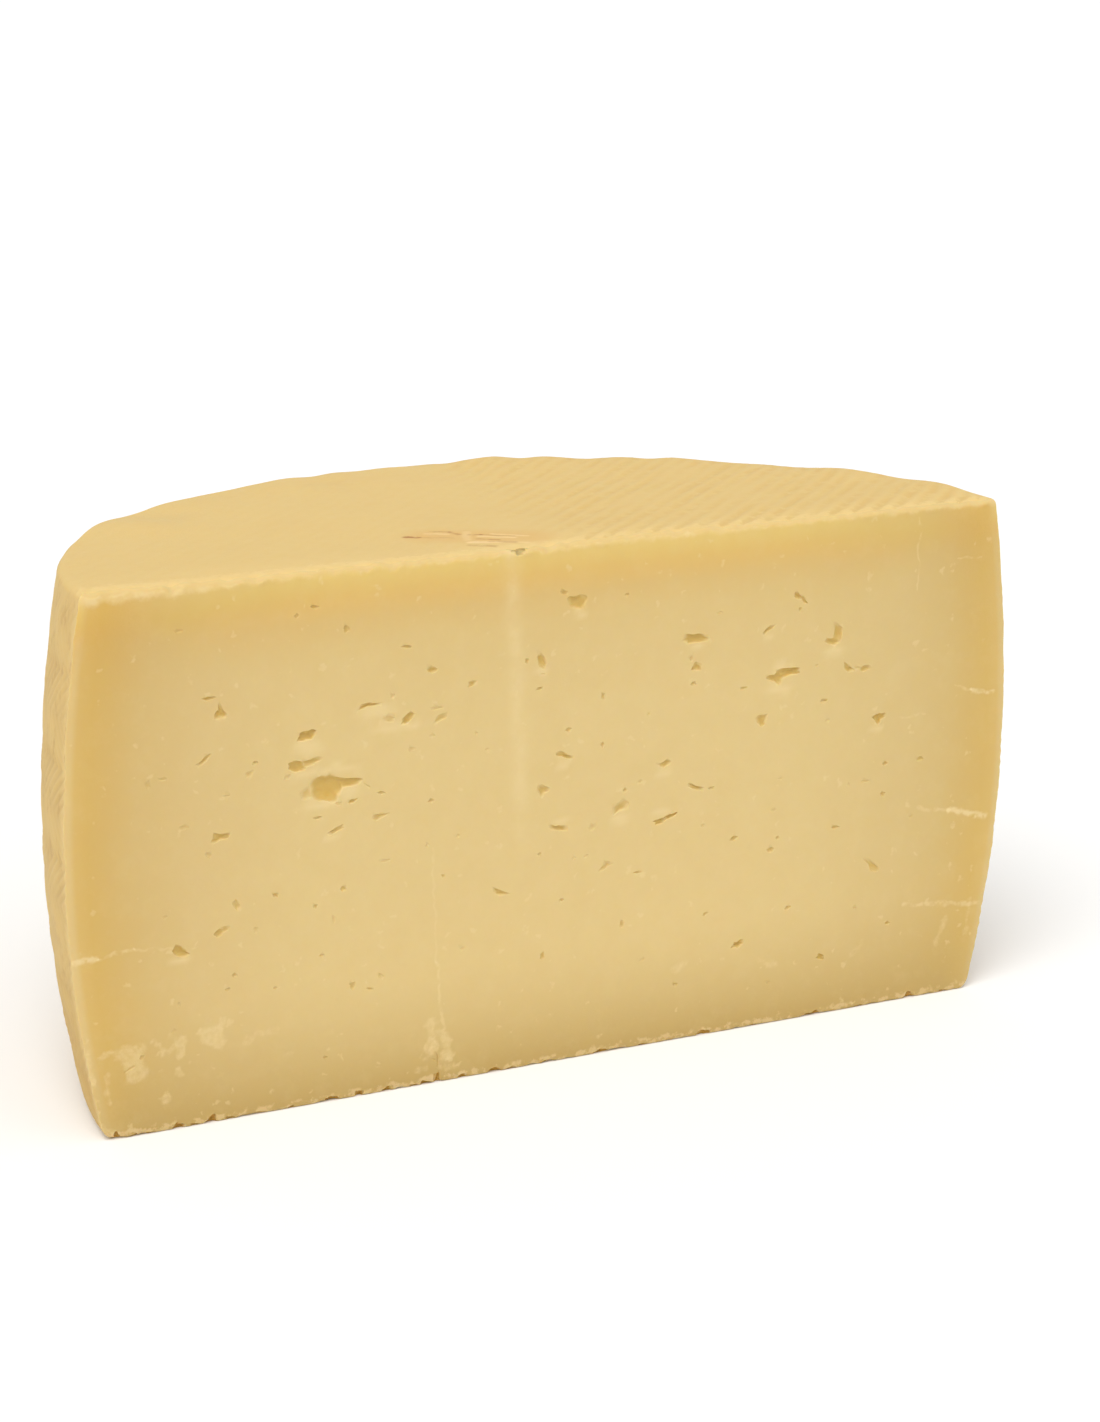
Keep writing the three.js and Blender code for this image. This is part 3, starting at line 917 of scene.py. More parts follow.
TORN_EYES: tuple[TornEye, ...] = (
    TornEye((
        (-52.8, 64.8), (-51.0, 65.8), (-48.4, 65.4), (-47.0, 64.5), (-46.4, 63.4), (-47.2, 61.9),
        (-47.8, 60.5), (-48.6, 60.1), (-50.2, 60.9), (-52.0, 61.3), (-52.8, 62.3),
    ), 0.85),
    TornEye((
        (-48.4, 65.2), (-46.0, 64.6), (-44.2, 64.5), (-42.7, 64.0), (-43.1, 62.9), (-46.2, 62.8),
        (-48.2, 62.9),
    ), 0.75),
    TornEye(((-54.8, 62.8), (-52.7, 64.2), (-52.4, 61.8), (-54.6, 61.3)), 0.25),
    TornEye(((-45.5, 59.8), (-44.9, 60.3), (-43.2, 60.3), (-44.3, 59.4), (-45.2, 59.4))),
    TornEye((
        (-57.0, 68.9), (-55.2, 69.1), (-54.2, 68.6), (-53.6, 67.6), (-54.3, 67.0), (-55.8, 66.9),
        (-57.1, 67.8),
    ), 1.1),
    TornEye((
        (-54.7, 68.9), (-53.2, 69.0), (-51.5, 69.5), (-50.4, 68.8), (-52.4, 67.9), (-54.5, 67.5),
    ), 0.5),
    TornEye((
        (-55.2, 72.9), (-54.7, 74.5), (-53.2, 74.6), (-52.4, 74.9), (-51.4, 74.6), (-51.9, 73.6),
        (-52.3, 72.9), (-54.0, 72.8),
    ), 1.2),
    TornEye((
        (-43.6, 77.2), (-42.6, 78.4), (-41.0, 78.6), (-39.6, 78.3), (-38.2, 78.4), (-39.4, 77.7),
        (-41.3, 77.9), (-42.8, 77.3),
    ), 0.6),
    TornEye((
        (-34.7, 73.5), (-34.3, 74.7), (-33.4, 75.5), (-32.7, 75.9), (-31.8, 75.2), (-32.6, 74.3),
        (-33.6, 73.4),
    )),
    TornEye((
        (-29.4, 83.6), (-28.6, 84.3), (-27.9, 84.0), (-27.1, 83.5), (-27.7, 82.8), (-28.3, 82.6),
        (-29.0, 83.0),
    ), 0.9),
    TornEye((
        (-70.5, 82.1), (-69.9, 81.9), (-69.5, 80.8), (-68.7, 79.8), (-69.3, 79.1), (-71.1, 79.0),
        (-71.1, 80.2), (-70.3, 80.8),
    ), 0.8),
    TornEye((
        (-75.0, 71.0), (-73.9, 71.4), (-73.3, 72.3), (-71.8, 72.8), (-72.4, 72.0), (-73.0, 71.2),
        (-73.9, 70.6),
    ), 0.7),
    TornEye((
        (-0.6, 93.9), (0.2, 94.5), (1.2, 94.3), (2.4, 94.5), (3.6, 94.2), (3.5, 92.8), (3.1, 91.7),
        (1.8, 91.8), (0.6, 92.3), (-0.5, 93.1),
    ), 0.7),
    TornEye((
        (-6.7, 84.1), (-5.8, 84.1), (-5.2, 83.2), (-4.7, 81.7), (-5.2, 81.0), (-6.1, 81.1),
        (-6.5, 82.4),
    ), 0.8),
    TornEye((
        (24.8, 83.2), (25.4, 84.6), (26.4, 84.1), (28.6, 84.1), (29.4, 83.5), (30.4, 82.9),
        (29.4, 82.4), (27.0, 82.4), (25.6, 82.3),
    ), 0.9),
    TornEye((
        (26.3, 76.9), (27.0, 77.9), (27.2, 78.7), (28.0, 78.3), (28.8, 77.7), (28.8, 76.6),
        (27.4, 76.8),
    ), 0.8),
    TornEye((
        (43.6, 73.4), (44.2, 74.0), (45.1, 73.8), (45.9, 74.6), (46.9, 74.6), (47.4, 73.3),
        (46.6, 71.8), (45.7, 71.9), (45.0, 72.7), (44.0, 73.0),
    ), 1.0),
    TornEye((
        (45.6, 74.5), (47.0, 75.0), (49.0, 74.9), (50.9, 74.7), (50.8, 73.5), (49.0, 73.4),
        (47.2, 73.1),
    ), 1.2),
    TornEye((
        (58.5, 83.0), (59.3, 82.7), (60.4, 82.0), (60.3, 80.5), (60.1, 78.9), (59.3, 79.0),
        (58.4, 79.6), (58.5, 81.2),
    ), 0.6),
    TornEye((
        (59.9, 79.6), (60.0, 78.9), (58.8, 78.3), (57.6, 78.7), (56.4, 79.4), (56.9, 80.0),
        (58.2, 79.9), (59.1, 80.1),
    ), 0.9),
    TornEye((
        (49.1, 89.2), (49.2, 90.2), (49.8, 90.3), (50.4, 89.6), (51.1, 89.1), (50.8, 88.5),
        (50.0, 88.8),
    )),
    TornEye(((50.6, 89.3), (51.1, 89.4), (51.6, 88.7), (52.4, 87.6), (51.4, 87.6), (50.8, 88.6)), 0.9),
    TornEye((
        (68.0, 62.4), (69.2, 62.9), (71.3, 63.0), (71.2, 62.1), (70.3, 61.7), (69.7, 60.4),
        (69.1, 61.1), (68.7, 61.8),
    ), 1.1),
    TornEye((
        (61.1, 74.7), (61.8, 74.3), (62.6, 73.6), (63.6, 72.9), (62.7, 72.4), (61.8, 72.7),
        (61.2, 73.4),
    ), 0.9),
    TornEye(((64.8, 72.9), (65.8, 73.6), (67.5, 73.2), (67.3, 72.6), (65.6, 72.1), (65.0, 72.3)), 0.8),
    TornEye((
        (41.3, 65.4), (42.0, 66.1), (43.9, 66.0), (43.6, 64.8), (43.2, 63.9), (42.6, 63.4),
        (42.1, 64.2), (41.4, 64.5),
    ), 0.7),
    TornEye((
        (9.9, 50.9), (11.2, 51.9), (12.3, 52.5), (13.5, 51.5), (13.1, 50.5), (12.0, 50.3),
        (10.8, 50.1), (10.2, 49.2),
    ), 0.45),
    TornEye((
        (19.7, 58.8), (20.9, 59.1), (21.6, 59.6), (22.6, 59.1), (22.3, 58.4), (21.0, 57.9),
        (20.2, 58.1),
    ), 0.9),
    TornEye((
        (26.3, 53.4), (26.9, 54.0), (28.2, 53.2), (29.9, 52.7), (29.8, 52.0), (28.4, 52.3),
        (27.2, 52.8),
    ), 0.9),
    TornEye((
        (-6.3, 57.4), (-5.6, 58.0), (-4.6, 57.4), (-3.5, 57.1), (-4.2, 56.4), (-4.9, 56.0),
        (-5.2, 55.3), (-5.8, 55.5), (-6.1, 56.4),
    ), 0.6),
    TornEye((
        (-2.6, 63.5), (-1.9, 64.2), (-1.0, 63.9), (-0.2, 63.3), (1.0, 62.8), (0.8, 62.2),
        (-0.5, 62.4), (-1.3, 63.0), (-2.0, 63.1),
    ), 0.8),
    TornEye((
        (-3.6, 49.7), (-3.0, 49.1), (-1.6, 49.1), (0.1, 48.8), (0.0, 47.9), (-1.5, 48.0),
        (-2.8, 48.4), (-3.4, 48.6),
    ), 0.7),
    TornEye((
        (-49.7, 54.2), (-48.8, 54.6), (-48.0, 55.1), (-46.4, 55.6), (-46.4, 54.7), (-47.6, 54.3),
        (-48.6, 53.7),
    ), 0.7),
    TornEye((
        (-40.5, 56.6), (-39.0, 56.7), (-37.0, 56.5), (-38.6, 55.8), (-39.9, 55.1), (-40.4, 55.6),
    ), 0.5),
    TornEye((
        (-72.2, 55.9), (-71.6, 57.6), (-71.0, 57.1), (-69.6, 57.0), (-68.6, 57.1), (-69.0, 56.0),
        (-70.5, 55.9), (-71.7, 55.2),
    ), 0.7),
    TornEye((
        (-80.4, 35.6), (-79.5, 36.7), (-78.6, 36.4), (-77.9, 35.5), (-76.9, 34.6), (-77.6, 34.1),
        (-78.9, 34.2), (-79.8, 34.9),
    ), 1.2),
    TornEye((
        (-72.4, 37.6), (-71.3, 38.6), (-70.6, 38.7), (-70.2, 38.0), (-70.7, 37.4), (-71.4, 36.9),
    ), 1.0),
    TornEye(((-70.9, 38.4), (-70.2, 39.0), (-69.0, 39.0), (-69.3, 38.1), (-70.4, 37.8)), 0.8),
    TornEye((
        (-68.6, 43.2), (-67.7, 44.1), (-67.3, 43.2), (-66.8, 42.3), (-67.5, 41.7), (-68.2, 42.3),
    ), 0.6),
    TornEye((
        (-15.6, 38.6), (-14.8, 38.1), (-13.7, 37.5), (-11.9, 36.7), (-13.5, 36.6), (-15.0, 36.8),
        (-15.5, 37.6),
    ), 0.6),
    TornEye((
        (67.4, 32.3), (69.0, 32.1), (70.1, 31.2), (71.4, 30.0), (71.3, 29.2), (69.5, 29.3),
        (69.0, 30.3), (68.7, 31.2),
    ), 0.45),
    TornEye((
        (6.9, 38.4), (7.9, 39.4), (8.6, 40.4), (9.6, 40.1), (10.7, 39.5), (9.2, 39.2),
        (8.2, 38.4),
    ), 0.4),
    TornEye((
        (42.2, 82.6), (43.0, 83.6), (44.0, 84.0), (45.1, 84.0), (44.2, 83.2), (43.2, 82.9),
        (42.8, 82.2),
    ), 0.7),
    TornEye((
        (-28.2, 72.7), (-27.2, 74.3), (-26.2, 74.8), (-25.2, 74.6), (-25.3, 73.8), (-26.2, 73.5),
        (-27.1, 73.1),
    ), 0.5),
    TornEye(((-45.5, 23.7), (-44.1, 23.7), (-44.2, 22.9), (-44.8, 21.9), (-45.2, 22.3)), 0.7),
)


@dataclass(frozen=True)
class Chip:
    """A crumbled place on the cut's bottom edge.

    Attributes:
        x: Its middle along the cut.
        width: How long it is.
        height: How high up the face it reaches, twice over.
        depth: How far it goes in.
        z: How high it lies.
    """

    x: float
    width: float
    height: float
    depth: float = 1.2
    z: float = 0.0


CHIPS: tuple[Chip, ...] = (
    Chip(-92.0, 2.2, 2.6),
    Chip(-88.4, 2.6, 1.4, 0.8),
    Chip(-85.5, 2.8, 1.2, 0.8),
    Chip(-80.0, 2.4, 3.2, 1.3),
    Chip(-76.8, 2.2, 1.4, 0.8),
    Chip(-73.5, 2.8, 3.0, 1.4),
    Chip(-69.6, 2.6, 1.4, 0.8),
    Chip(-64.0, 3.2, 1.2, 0.7),
    Chip(-57.5, 2.2, 1.2, 0.7),
    Chip(-49.2, 2.8, 2.6, 1.2),
    Chip(-43.7, 2.4, 2.6, 1.2),
    Chip(-37.9, 2.4, 2.2, 1.0),
    Chip(-32.0, 2.2, 1.4, 0.8),
    Chip(-27.3, 1.7, 4.2, 1.1),
    Chip(-29.6, 3.0, 1.8, 1.2),
    Chip(-21.8, 2.6, 2.2, 1.0),
    Chip(-15.0, 3.2, 2.4, 1.3),
    Chip(-11.4, 2.2, 1.4, 0.9),
    Chip(-4.0, 3.0, 1.2, 0.8),
    Chip(8.0, 3.4, 2.0),
    Chip(17.5, 2.6, 1.2, 0.8),
    Chip(31.0, 3.4, 2.4),
    Chip(43.0, 2.8, 1.2, 0.7),
    Chip(57.0, 4.0, 2.0),
    Chip(68.0, 2.6, 1.2, 0.8),
    Chip(80.0, 3.4, 2.2),
    Chip(88.5, 2.6, 1.4, 0.9),
    Chip(-10.6, 3.4, 2.6, 1.4, 105.0),
)


@dataclass(frozen=True)
class Pit:
    """A place where the cut face is hollowed.

    Attributes:
        x: Its middle along the cut.
        z: Its middle's height.
        half_width: Half its width before it is turned.
        half_height: Half its height before it is turned.
        tilt: How far it is turned, in degrees.
        depth: How deep it is.
        style: How its wall is shaped.
        spread: Its outline, where it isn't an oval.
    """

    x: float
    z: float
    half_width: float
    half_height: float
    tilt: float
    depth: float
    style: CavityStyle
    spread: Optional[OutlineSpread] = None


@dataclass
class Cavities:
    """The lumps that cut the eyes and chips out of the half wheel."""

    wheel: WheelForm = field(default_factory=WheelForm)
    cut: CutFace = field(default_factory=CutFace)
    fine_from: float = 3.4
    ripples: tuple[int, ...] = (2, 3, 4, 5)
    seed: int = 417
    clearance: float = 0.35

    def lump(
        self, mesh: bmesh.types.BMesh, size: Vector, tilt: float, middle: Vector,
        style: CavityStyle, rng: random.Random, spread: Optional[OutlineSpread] = None,
    ) -> None:
        """Adds one knobbly lump to a mesh.

        Args:
            mesh: The mesh that it is added to.
            size: Its half width, depth and half height.
            tilt: How far it is turned in the cut's plane, in degrees.
            middle: Where it lies.
            style: How angular and uneven it is.
            rng: The source of its unevenness.
            spread: Its outline, where it isn't an oval.
        """
        fine = 2.0 * max(size.x, size.z) > self.fine_from
        ball = bmesh.ops.create_icosphere(mesh, subdivisions=4 if fine else 3, radius=1.0)
        corners = []
        for count in self.ripples:
            reach = style.cornered * rng.uniform(0.3, 1.0) / math.sqrt(count)
            corners.append((count, reach, rng.uniform(0, math.tau)))
        shift = Vector([rng.uniform(-90.0, 90.0) for _ in range(3)])
        turned = Matrix.Rotation(math.radians(-tilt), 3, "Y")
        for vert in ball["verts"]:
            around = math.atan2(vert.co.z, vert.co.x)
            flare = 1.0 + sum(a * math.cos(n * around + turn) for n, a, turn in corners)
            if spread:
                flare *= spread.softened(around)
            uneven = noise.noise(vert.co * 1.7 + shift) + 0.5 * noise.noise(vert.co * 3.9 + shift)
            swell = 1.0 + style.lumpy * uneven
            across, up = vert.co.x * flare * size.x, vert.co.z * flare * size.z
            vert.co = middle + turned @ (Vector((across, vert.co.y * size.y, up)) * swell)

    def sorted_apart(self, sizes: Sequence[tuple[float, float, float]]) -> list[list[int]]:
        """Shares lumps out among sets in which none touches another.

        Args:
            sizes: Each lump's x, z and reach.

        Returns:
            The numbers of the lumps in each set.
        """
        sets: list[list[int]] = []
        for number, (x, z, reach) in enumerate(sizes):
            for chosen in sets:
                apart = (
                    math.hypot(x - sizes[k][0], z - sizes[k][1]) > reach + sizes[k][2] + self.clearance
                    for k in chosen
                )
                if all(apart):
                    chosen.append(number)
                    break
            else:
                sets.append([number])
        return sets

    def build(self) -> list[bmesh.types.BMesh]:
        """The lumps, in as few meshes as keep them clear of each other."""
        pits = self.pits()
        reach = [(pit.x, pit.z, 1.36 * max(pit.half_width, pit.half_height)) for pit in pits]
        meshes = []
        for chosen in self.sorted_apart(reach):
            mesh = bmesh.new()
            for number in chosen:
                pit = pits[number]
                level = self.wheel.seated(Vector((pit.x, 0.0, pit.z)))
                level.y = self.cut.recess(pit.x, pit.z) + pit.style.sunk * pit.depth
                widened = 1.0 / math.sqrt(1.0 - pit.style.sunk ** 2)
                size = Vector((pit.half_width * widened, pit.depth, pit.half_height * widened))
                rng = random.Random(self.seed + number)
                self.lump(mesh, size, pit.tilt, level, pit.style, rng, pit.spread)
            bmesh.ops.recalc_face_normals(mesh, faces=mesh.faces)
            meshes.append(mesh)
        return meshes

    @staticmethod
    def pits() -> list[Pit]:
        """Every eye, torn eye and chip as a pit."""
        pits = []
        for eye in EYES:
            style = CAVITY_STYLES[eye.kind]
            depth = style.least_depth + style.depth_share * math.sqrt(eye.width * eye.height)
            pits.append(Pit(eye.x, eye.z, eye.width / 2.0, eye.height / 2.0, eye.tilt, depth, style))
        for torn in TORN_EYES:
            (x, z), spread = torn.middle(), torn.spread()
            size = 2.0 * math.sqrt(spread.half_width * spread.half_height)
            depth = OUTLINED.least_depth + OUTLINED.depth_share * torn.deep * size
            half_width, half_height = spread.half_width * OPENED, spread.half_height * OPENED
            pits.append(Pit(x, z, half_width, half_height, torn.lie(), depth, OUTLINED, spread))
        for chip in CHIPS:
            style = CAVITY_STYLES[EyeKind.TORN]
            pits.append(Pit(chip.x, chip.z, chip.width / 2.0, chip.height / 2.0, 0.0, chip.depth, style))
        return pits


# ---------------------------------------------------------------- shader maths


class Signal:
    """A value in a material's graph, so that shader maths reads as a plain expression."""

    def __init__(self, graph: "Graph", socket: bpy.types.NodeSocket) -> None:
        """Keeps the graph and the socket that gives the value."""
        self.graph = graph
        self.socket = socket

    def __add__(self, other: "Value") -> "Signal":
        """The sum."""
        return self.graph.math("ADD", self, other)

    def __sub__(self, other: "Value") -> "Signal":
        """The difference."""
        return self.graph.math("SUBTRACT", self, other)

    def __mul__(self, other: "Value") -> "Signal":
        """The product."""
        return self.graph.math("MULTIPLY", self, other)

    def __truediv__(self, other: "Value") -> "Signal":
        """The quotient."""
        return self.graph.math("DIVIDE", self, other)

    def __pow__(self, other: "Value") -> "Signal":
        """The power."""
        return self.graph.math("POWER", self, other)

    def __radd__(self, other: "Value") -> "Signal":
        """The sum, with a number first."""
        return self.graph.math("ADD", other, self)

    def __rsub__(self, other: "Value") -> "Signal":
        """The difference, with a number first."""
        return self.graph.math("SUBTRACT", other, self)

    def __rmul__(self, other: "Value") -> "Signal":
        """The product, with a number first."""
        return self.graph.math("MULTIPLY", other, self)

    def __neg__(self) -> "Signal":
        """The value with its sign turned."""
        return self.graph.math("MULTIPLY", self, -1.0)

    def rising(self, start: float, end: float) -> "Signal":
        """A smooth step from 0 at start to 1 at end, which may lie below start."""
        low, high = (0.0, 1.0) if end > start else (1.0, 0.0)
        return self.graph.node(
            "ShaderNodeMapRange",
            {"interpolation_type": "SMOOTHSTEP"},
            {"Value": self, 1: min(start, end), 2: max(start, end), 3: low, 4: high},
        )

    def clipped(self) -> "Signal":
        """The value kept between 0 and 1."""
        return self.graph.node("ShaderNodeClamp", {}, {"Value": self, "Min": 0.0, "Max": 1.0})


Value = Union[Signal, Number]


class Graph:
    """A material's nodes, made through one method and joined by expressions."""

    def __init__(self, material: bpy.types.Material) -> None:
        """Empties the material's node tree and keeps it."""
        material.use_nodes = True
        self.tree = material.node_tree
        self.tree.nodes.clear()

    def node(
        self, kind: str, settings: dict[str, Any], inputs: dict[Union[int, str], Any],
        output: Union[int, str, None] = 0,
    ) -> Union["Signal", None]:
        """Makes one node.

        Args:
            kind: The node's type.
            settings: Its own settings, which are set first. A ramp's stops go under "stops".
            inputs: The values or links of its sockets, by name or number.
            output: The socket that the signal comes from, or None for the last node.

        Returns:
            The signal of that output.
        """
        made = self.tree.nodes.new(kind)
        for name, value in settings.items():
            if name == "stops":
                self.set_stops(made.color_ramp, value)
            else:
                setattr(made, name, value)
        for name, value in inputs.items():
            socket = made.inputs[name]
            if isinstance(value, Signal):
                self.tree.links.new(value.socket, socket)
            else:
                socket.default_value = value
        return None if output is None else Signal(self, made.outputs[output])

    @staticmethod
    def set_stops(ramp: bpy.types.ColorRamp, stops: Sequence[tuple[float, tuple]]) -> None:
        """Gives a colour ramp its stops.

        Args:
            ramp: The ramp.
            stops: Each stop's place and colour.
        """
        while len(ramp.elements) < len(stops):
            ramp.elements.new(1.0)
        for element, (place, colour) in zip(ramp.elements, stops):
            element.position = place
            element.color = colour

    def math(self, operation: str, *values: Value) -> Signal:
        """One step of arithmetic on numbers and signals."""
        inputs = dict(enumerate(values))
        return self.node("ShaderNodeMath", {"operation": operation}, inputs)

    def vector(self, operation: str, *values: Any, output: Union[int, str] = 0) -> Signal:
        """One step of arithmetic on vectors and colours."""
        inputs = dict(enumerate(values))
        return self.node("ShaderNodeVectorMath", {"operation": operation}, inputs, output)

    def mixed(self, share: Value, first: Any, second: Any, blend: str = "MIX") -> Signal:
        """Two colours mixed by a share.

        Args:
            share: How much of the second shows.
            first: The first colour.
            second: The second colour.
            blend: How they are mixed.

        Returns:
            The mixed colour.
        """
        settings = {"data_type": "RGBA", "blend_type": blend, "clamp_factor": True}
        return self.node("ShaderNodeMix", settings, {0: share, 6: first, 7: second}, 2)

    def place(self) -> Signal:
        """The point on the piece, in millimetres."""
        metres = self.node("ShaderNodeTexCoord", {}, {}, "Object")
        return self.vector("MULTIPLY", metres, (1000.0, 1000.0, 1000.0))

    def axes(self, vector: Signal) -> tuple[Signal, Signal, Signal]:
        """A vector's x, y and z."""
        split = self.node("ShaderNodeSeparateXYZ", {}, {"Vector": vector})
        sockets = split.socket.node.outputs
        return Signal(self, sockets[0]), Signal(self, sockets[1]), Signal(self, sockets[2])

    def grain(
        self, vector: Signal, scale: float, detail: float = 2.0, rough: float = 0.5
    ) -> Signal:
        """Noise from 0 to 1.

        Args:
            vector: The point that it is read at.
            scale: How many lumps there are to a millimetre.
            detail: How many finer layers it has.
            rough: How strong the finer layers are.

        Returns:
            The noise.
        """
        inputs = {"Vector": vector, "Scale": scale, "Detail": detail, "Roughness": rough}
        return self.node("ShaderNodeTexNoise", {}, inputs)

    def stretched(self, vector: Signal, scale: tuple[float, float, float]) -> Signal:
        """A point with each axis scaled."""
        return self.vector("MULTIPLY", vector, scale)

    def mark(self, name: str) -> Signal:
        """A mark that is kept on the mesh's points."""
        return self.node("ShaderNodeAttribute", {"attribute_name": name}, {}, "Fac")

    def finish(self, inputs: dict[str, Any]) -> None:
        """Makes the surface's shader and joins it to the material's output.

        Args:
            inputs: The values or links of the shader's sockets.
        """
        shader = self.node("ShaderNodeBsdfPrincipled", {}, inputs)
        self.node("ShaderNodeOutputMaterial", {}, {"Surface": shader}, output=None)

    def stroke(
        self, point: Signal, start: tuple[float, float], end: tuple[float, float], width: float
    ) -> Signal:
        """A soft line on the cut face.

        Args:
            point: The point, with x and z in millimetres.
            start: Where the line starts, as x and z.
            end: Where it ends.
            width: Its half width.

        Returns:
            1 on the line and 0 away from it.
        """
        line = Vector((end[0] - start[0], 0.0, end[1] - start[1]))
        offset = self.vector("SUBTRACT", point, (start[0], 0.0, start[1]))
        along = self.vector("DOT_PRODUCT", offset, tuple(line), output="Value")
        share = (along * (1.0 / line.length_squared)).clipped()
        nearest = self.node(
            "ShaderNodeVectorMath", {"operation": "SCALE"}, {0: tuple(line), "Scale": share}
        )
        away = self.vector("SUBTRACT", offset, nearest)
        distance = self.vector("LENGTH", away, output="Value")
        return distance.rising(width, 0.2 * width)


# ---------------------------------------------------------------- finishes


class Finishes(IntEnum):
    """The places of the half wheel's finishes among its material slots."""

    PASTE = 0
    RIND = 1


LIGHT_ON_CUT: Light = (1.148, 1.118, 1.102)
LIGHT_ON_TOP: Light = (1.142, 1.171, 1.3)
LIGHT_ON_EDGE: Light = (1.303, 1.333, 1.467)


@dataclass(frozen=True)
class WaxySurface:
    """How light meets the cheese: dull, a little waxy, with light soaking in a short way."""

    specular: float = 0.3
    soak: float = 0.6
    soak_depth: float = 0.0014
    soak_colours: tuple[float, float, float] = (1.0, 0.66, 0.3)

    def shade(self, graph: Graph, colour: Signal, roughness: Value, normal: Signal) -> None:
        """Joins a finish's signals to its surface.

        Args:
            graph: The material's nodes.
            colour: The colour.
            roughness: The roughness.
            normal: The normal.
        """
        graph.finish(
            {
                "Base Color": colour,
                "Roughness": roughness,
                "Normal": normal,
                "Specular IOR Level": self.specular,
                "Subsurface Weight": self.soak,
                "Subsurface Radius": self.soak_colours,
                "Subsurface Scale": self.soak_depth,
            }
        )


@dataclass(frozen=True)
class Stroke:
    """A soft line: a scratch or a smear on the cut face, or a streak of the stain on the top.

    Attributes:
        start: Where it starts, as x and the height, or as x and the distance behind the cut.
        end: Where it ends, in the same way.
        half_width: Half its breadth.
        strength: How strongly it shows.
    """

    start: tuple[float, float]
    end: tuple[float, float]
    half_width: float
    strength: float = 1.0

    def share(self, places: np.ndarray) -> np.ndarray:
        """How strongly it covers each of some places, from 0 to its strength."""
        along = np.subtract(self.end, self.start)
        offsets = places - np.array(self.start)
        parts = np.clip(offsets @ along / max(1e-9, float(along @ along)), 0.0, 1.0)
        away = np.linalg.norm(offsets - parts[:, None] * along, axis=1) / self.half_width
        kept = np.clip((1.15 - away) / 0.85, 0.0, 1.0)
        return self.strength * kept * kept * (3.0 - 2.0 * kept)


SCRATCHES: tuple[Stroke, ...] = (
    Stroke((-99.0, 36.0), (-94.0, 36.3), 1.0, 0.8),
    Stroke((-94.0, 36.3), (-87.5, 36.7), 0.55, 0.5),
    Stroke((-87.5, 36.7), (-80.3, 35.8), 0.4, 0.3),
    Stroke((87.5, 67.0), (92.0, 65.8), 0.4, 0.4),
    Stroke((92.0, 65.8), (97.0, 64.5), 0.75, 0.7),
    Stroke((80.0, 42.0), (88.0, 40.2), 0.5, 0.4),
    Stroke((88.0, 40.2), (96.5, 38.0), 1.1, 0.8),
    Stroke((78.0, 21.0), (96.0, 19.0), 0.7, 0.5),
    Stroke((87.0, 93.5), (92.5, 93.4), 0.35, 0.35),
    Stroke((74.5, 62.0), (80.5, 61.6), 0.35, 0.3),
    Stroke((77.4, 103.0), (78.0, 88.0), 0.35, 0.35),
    Stroke((-28.0, 48.0), (-27.3, 25.0), 0.4, 0.28),
    Stroke((-27.3, 25.0), (-26.0, 11.0), 0.55, 0.4),
)


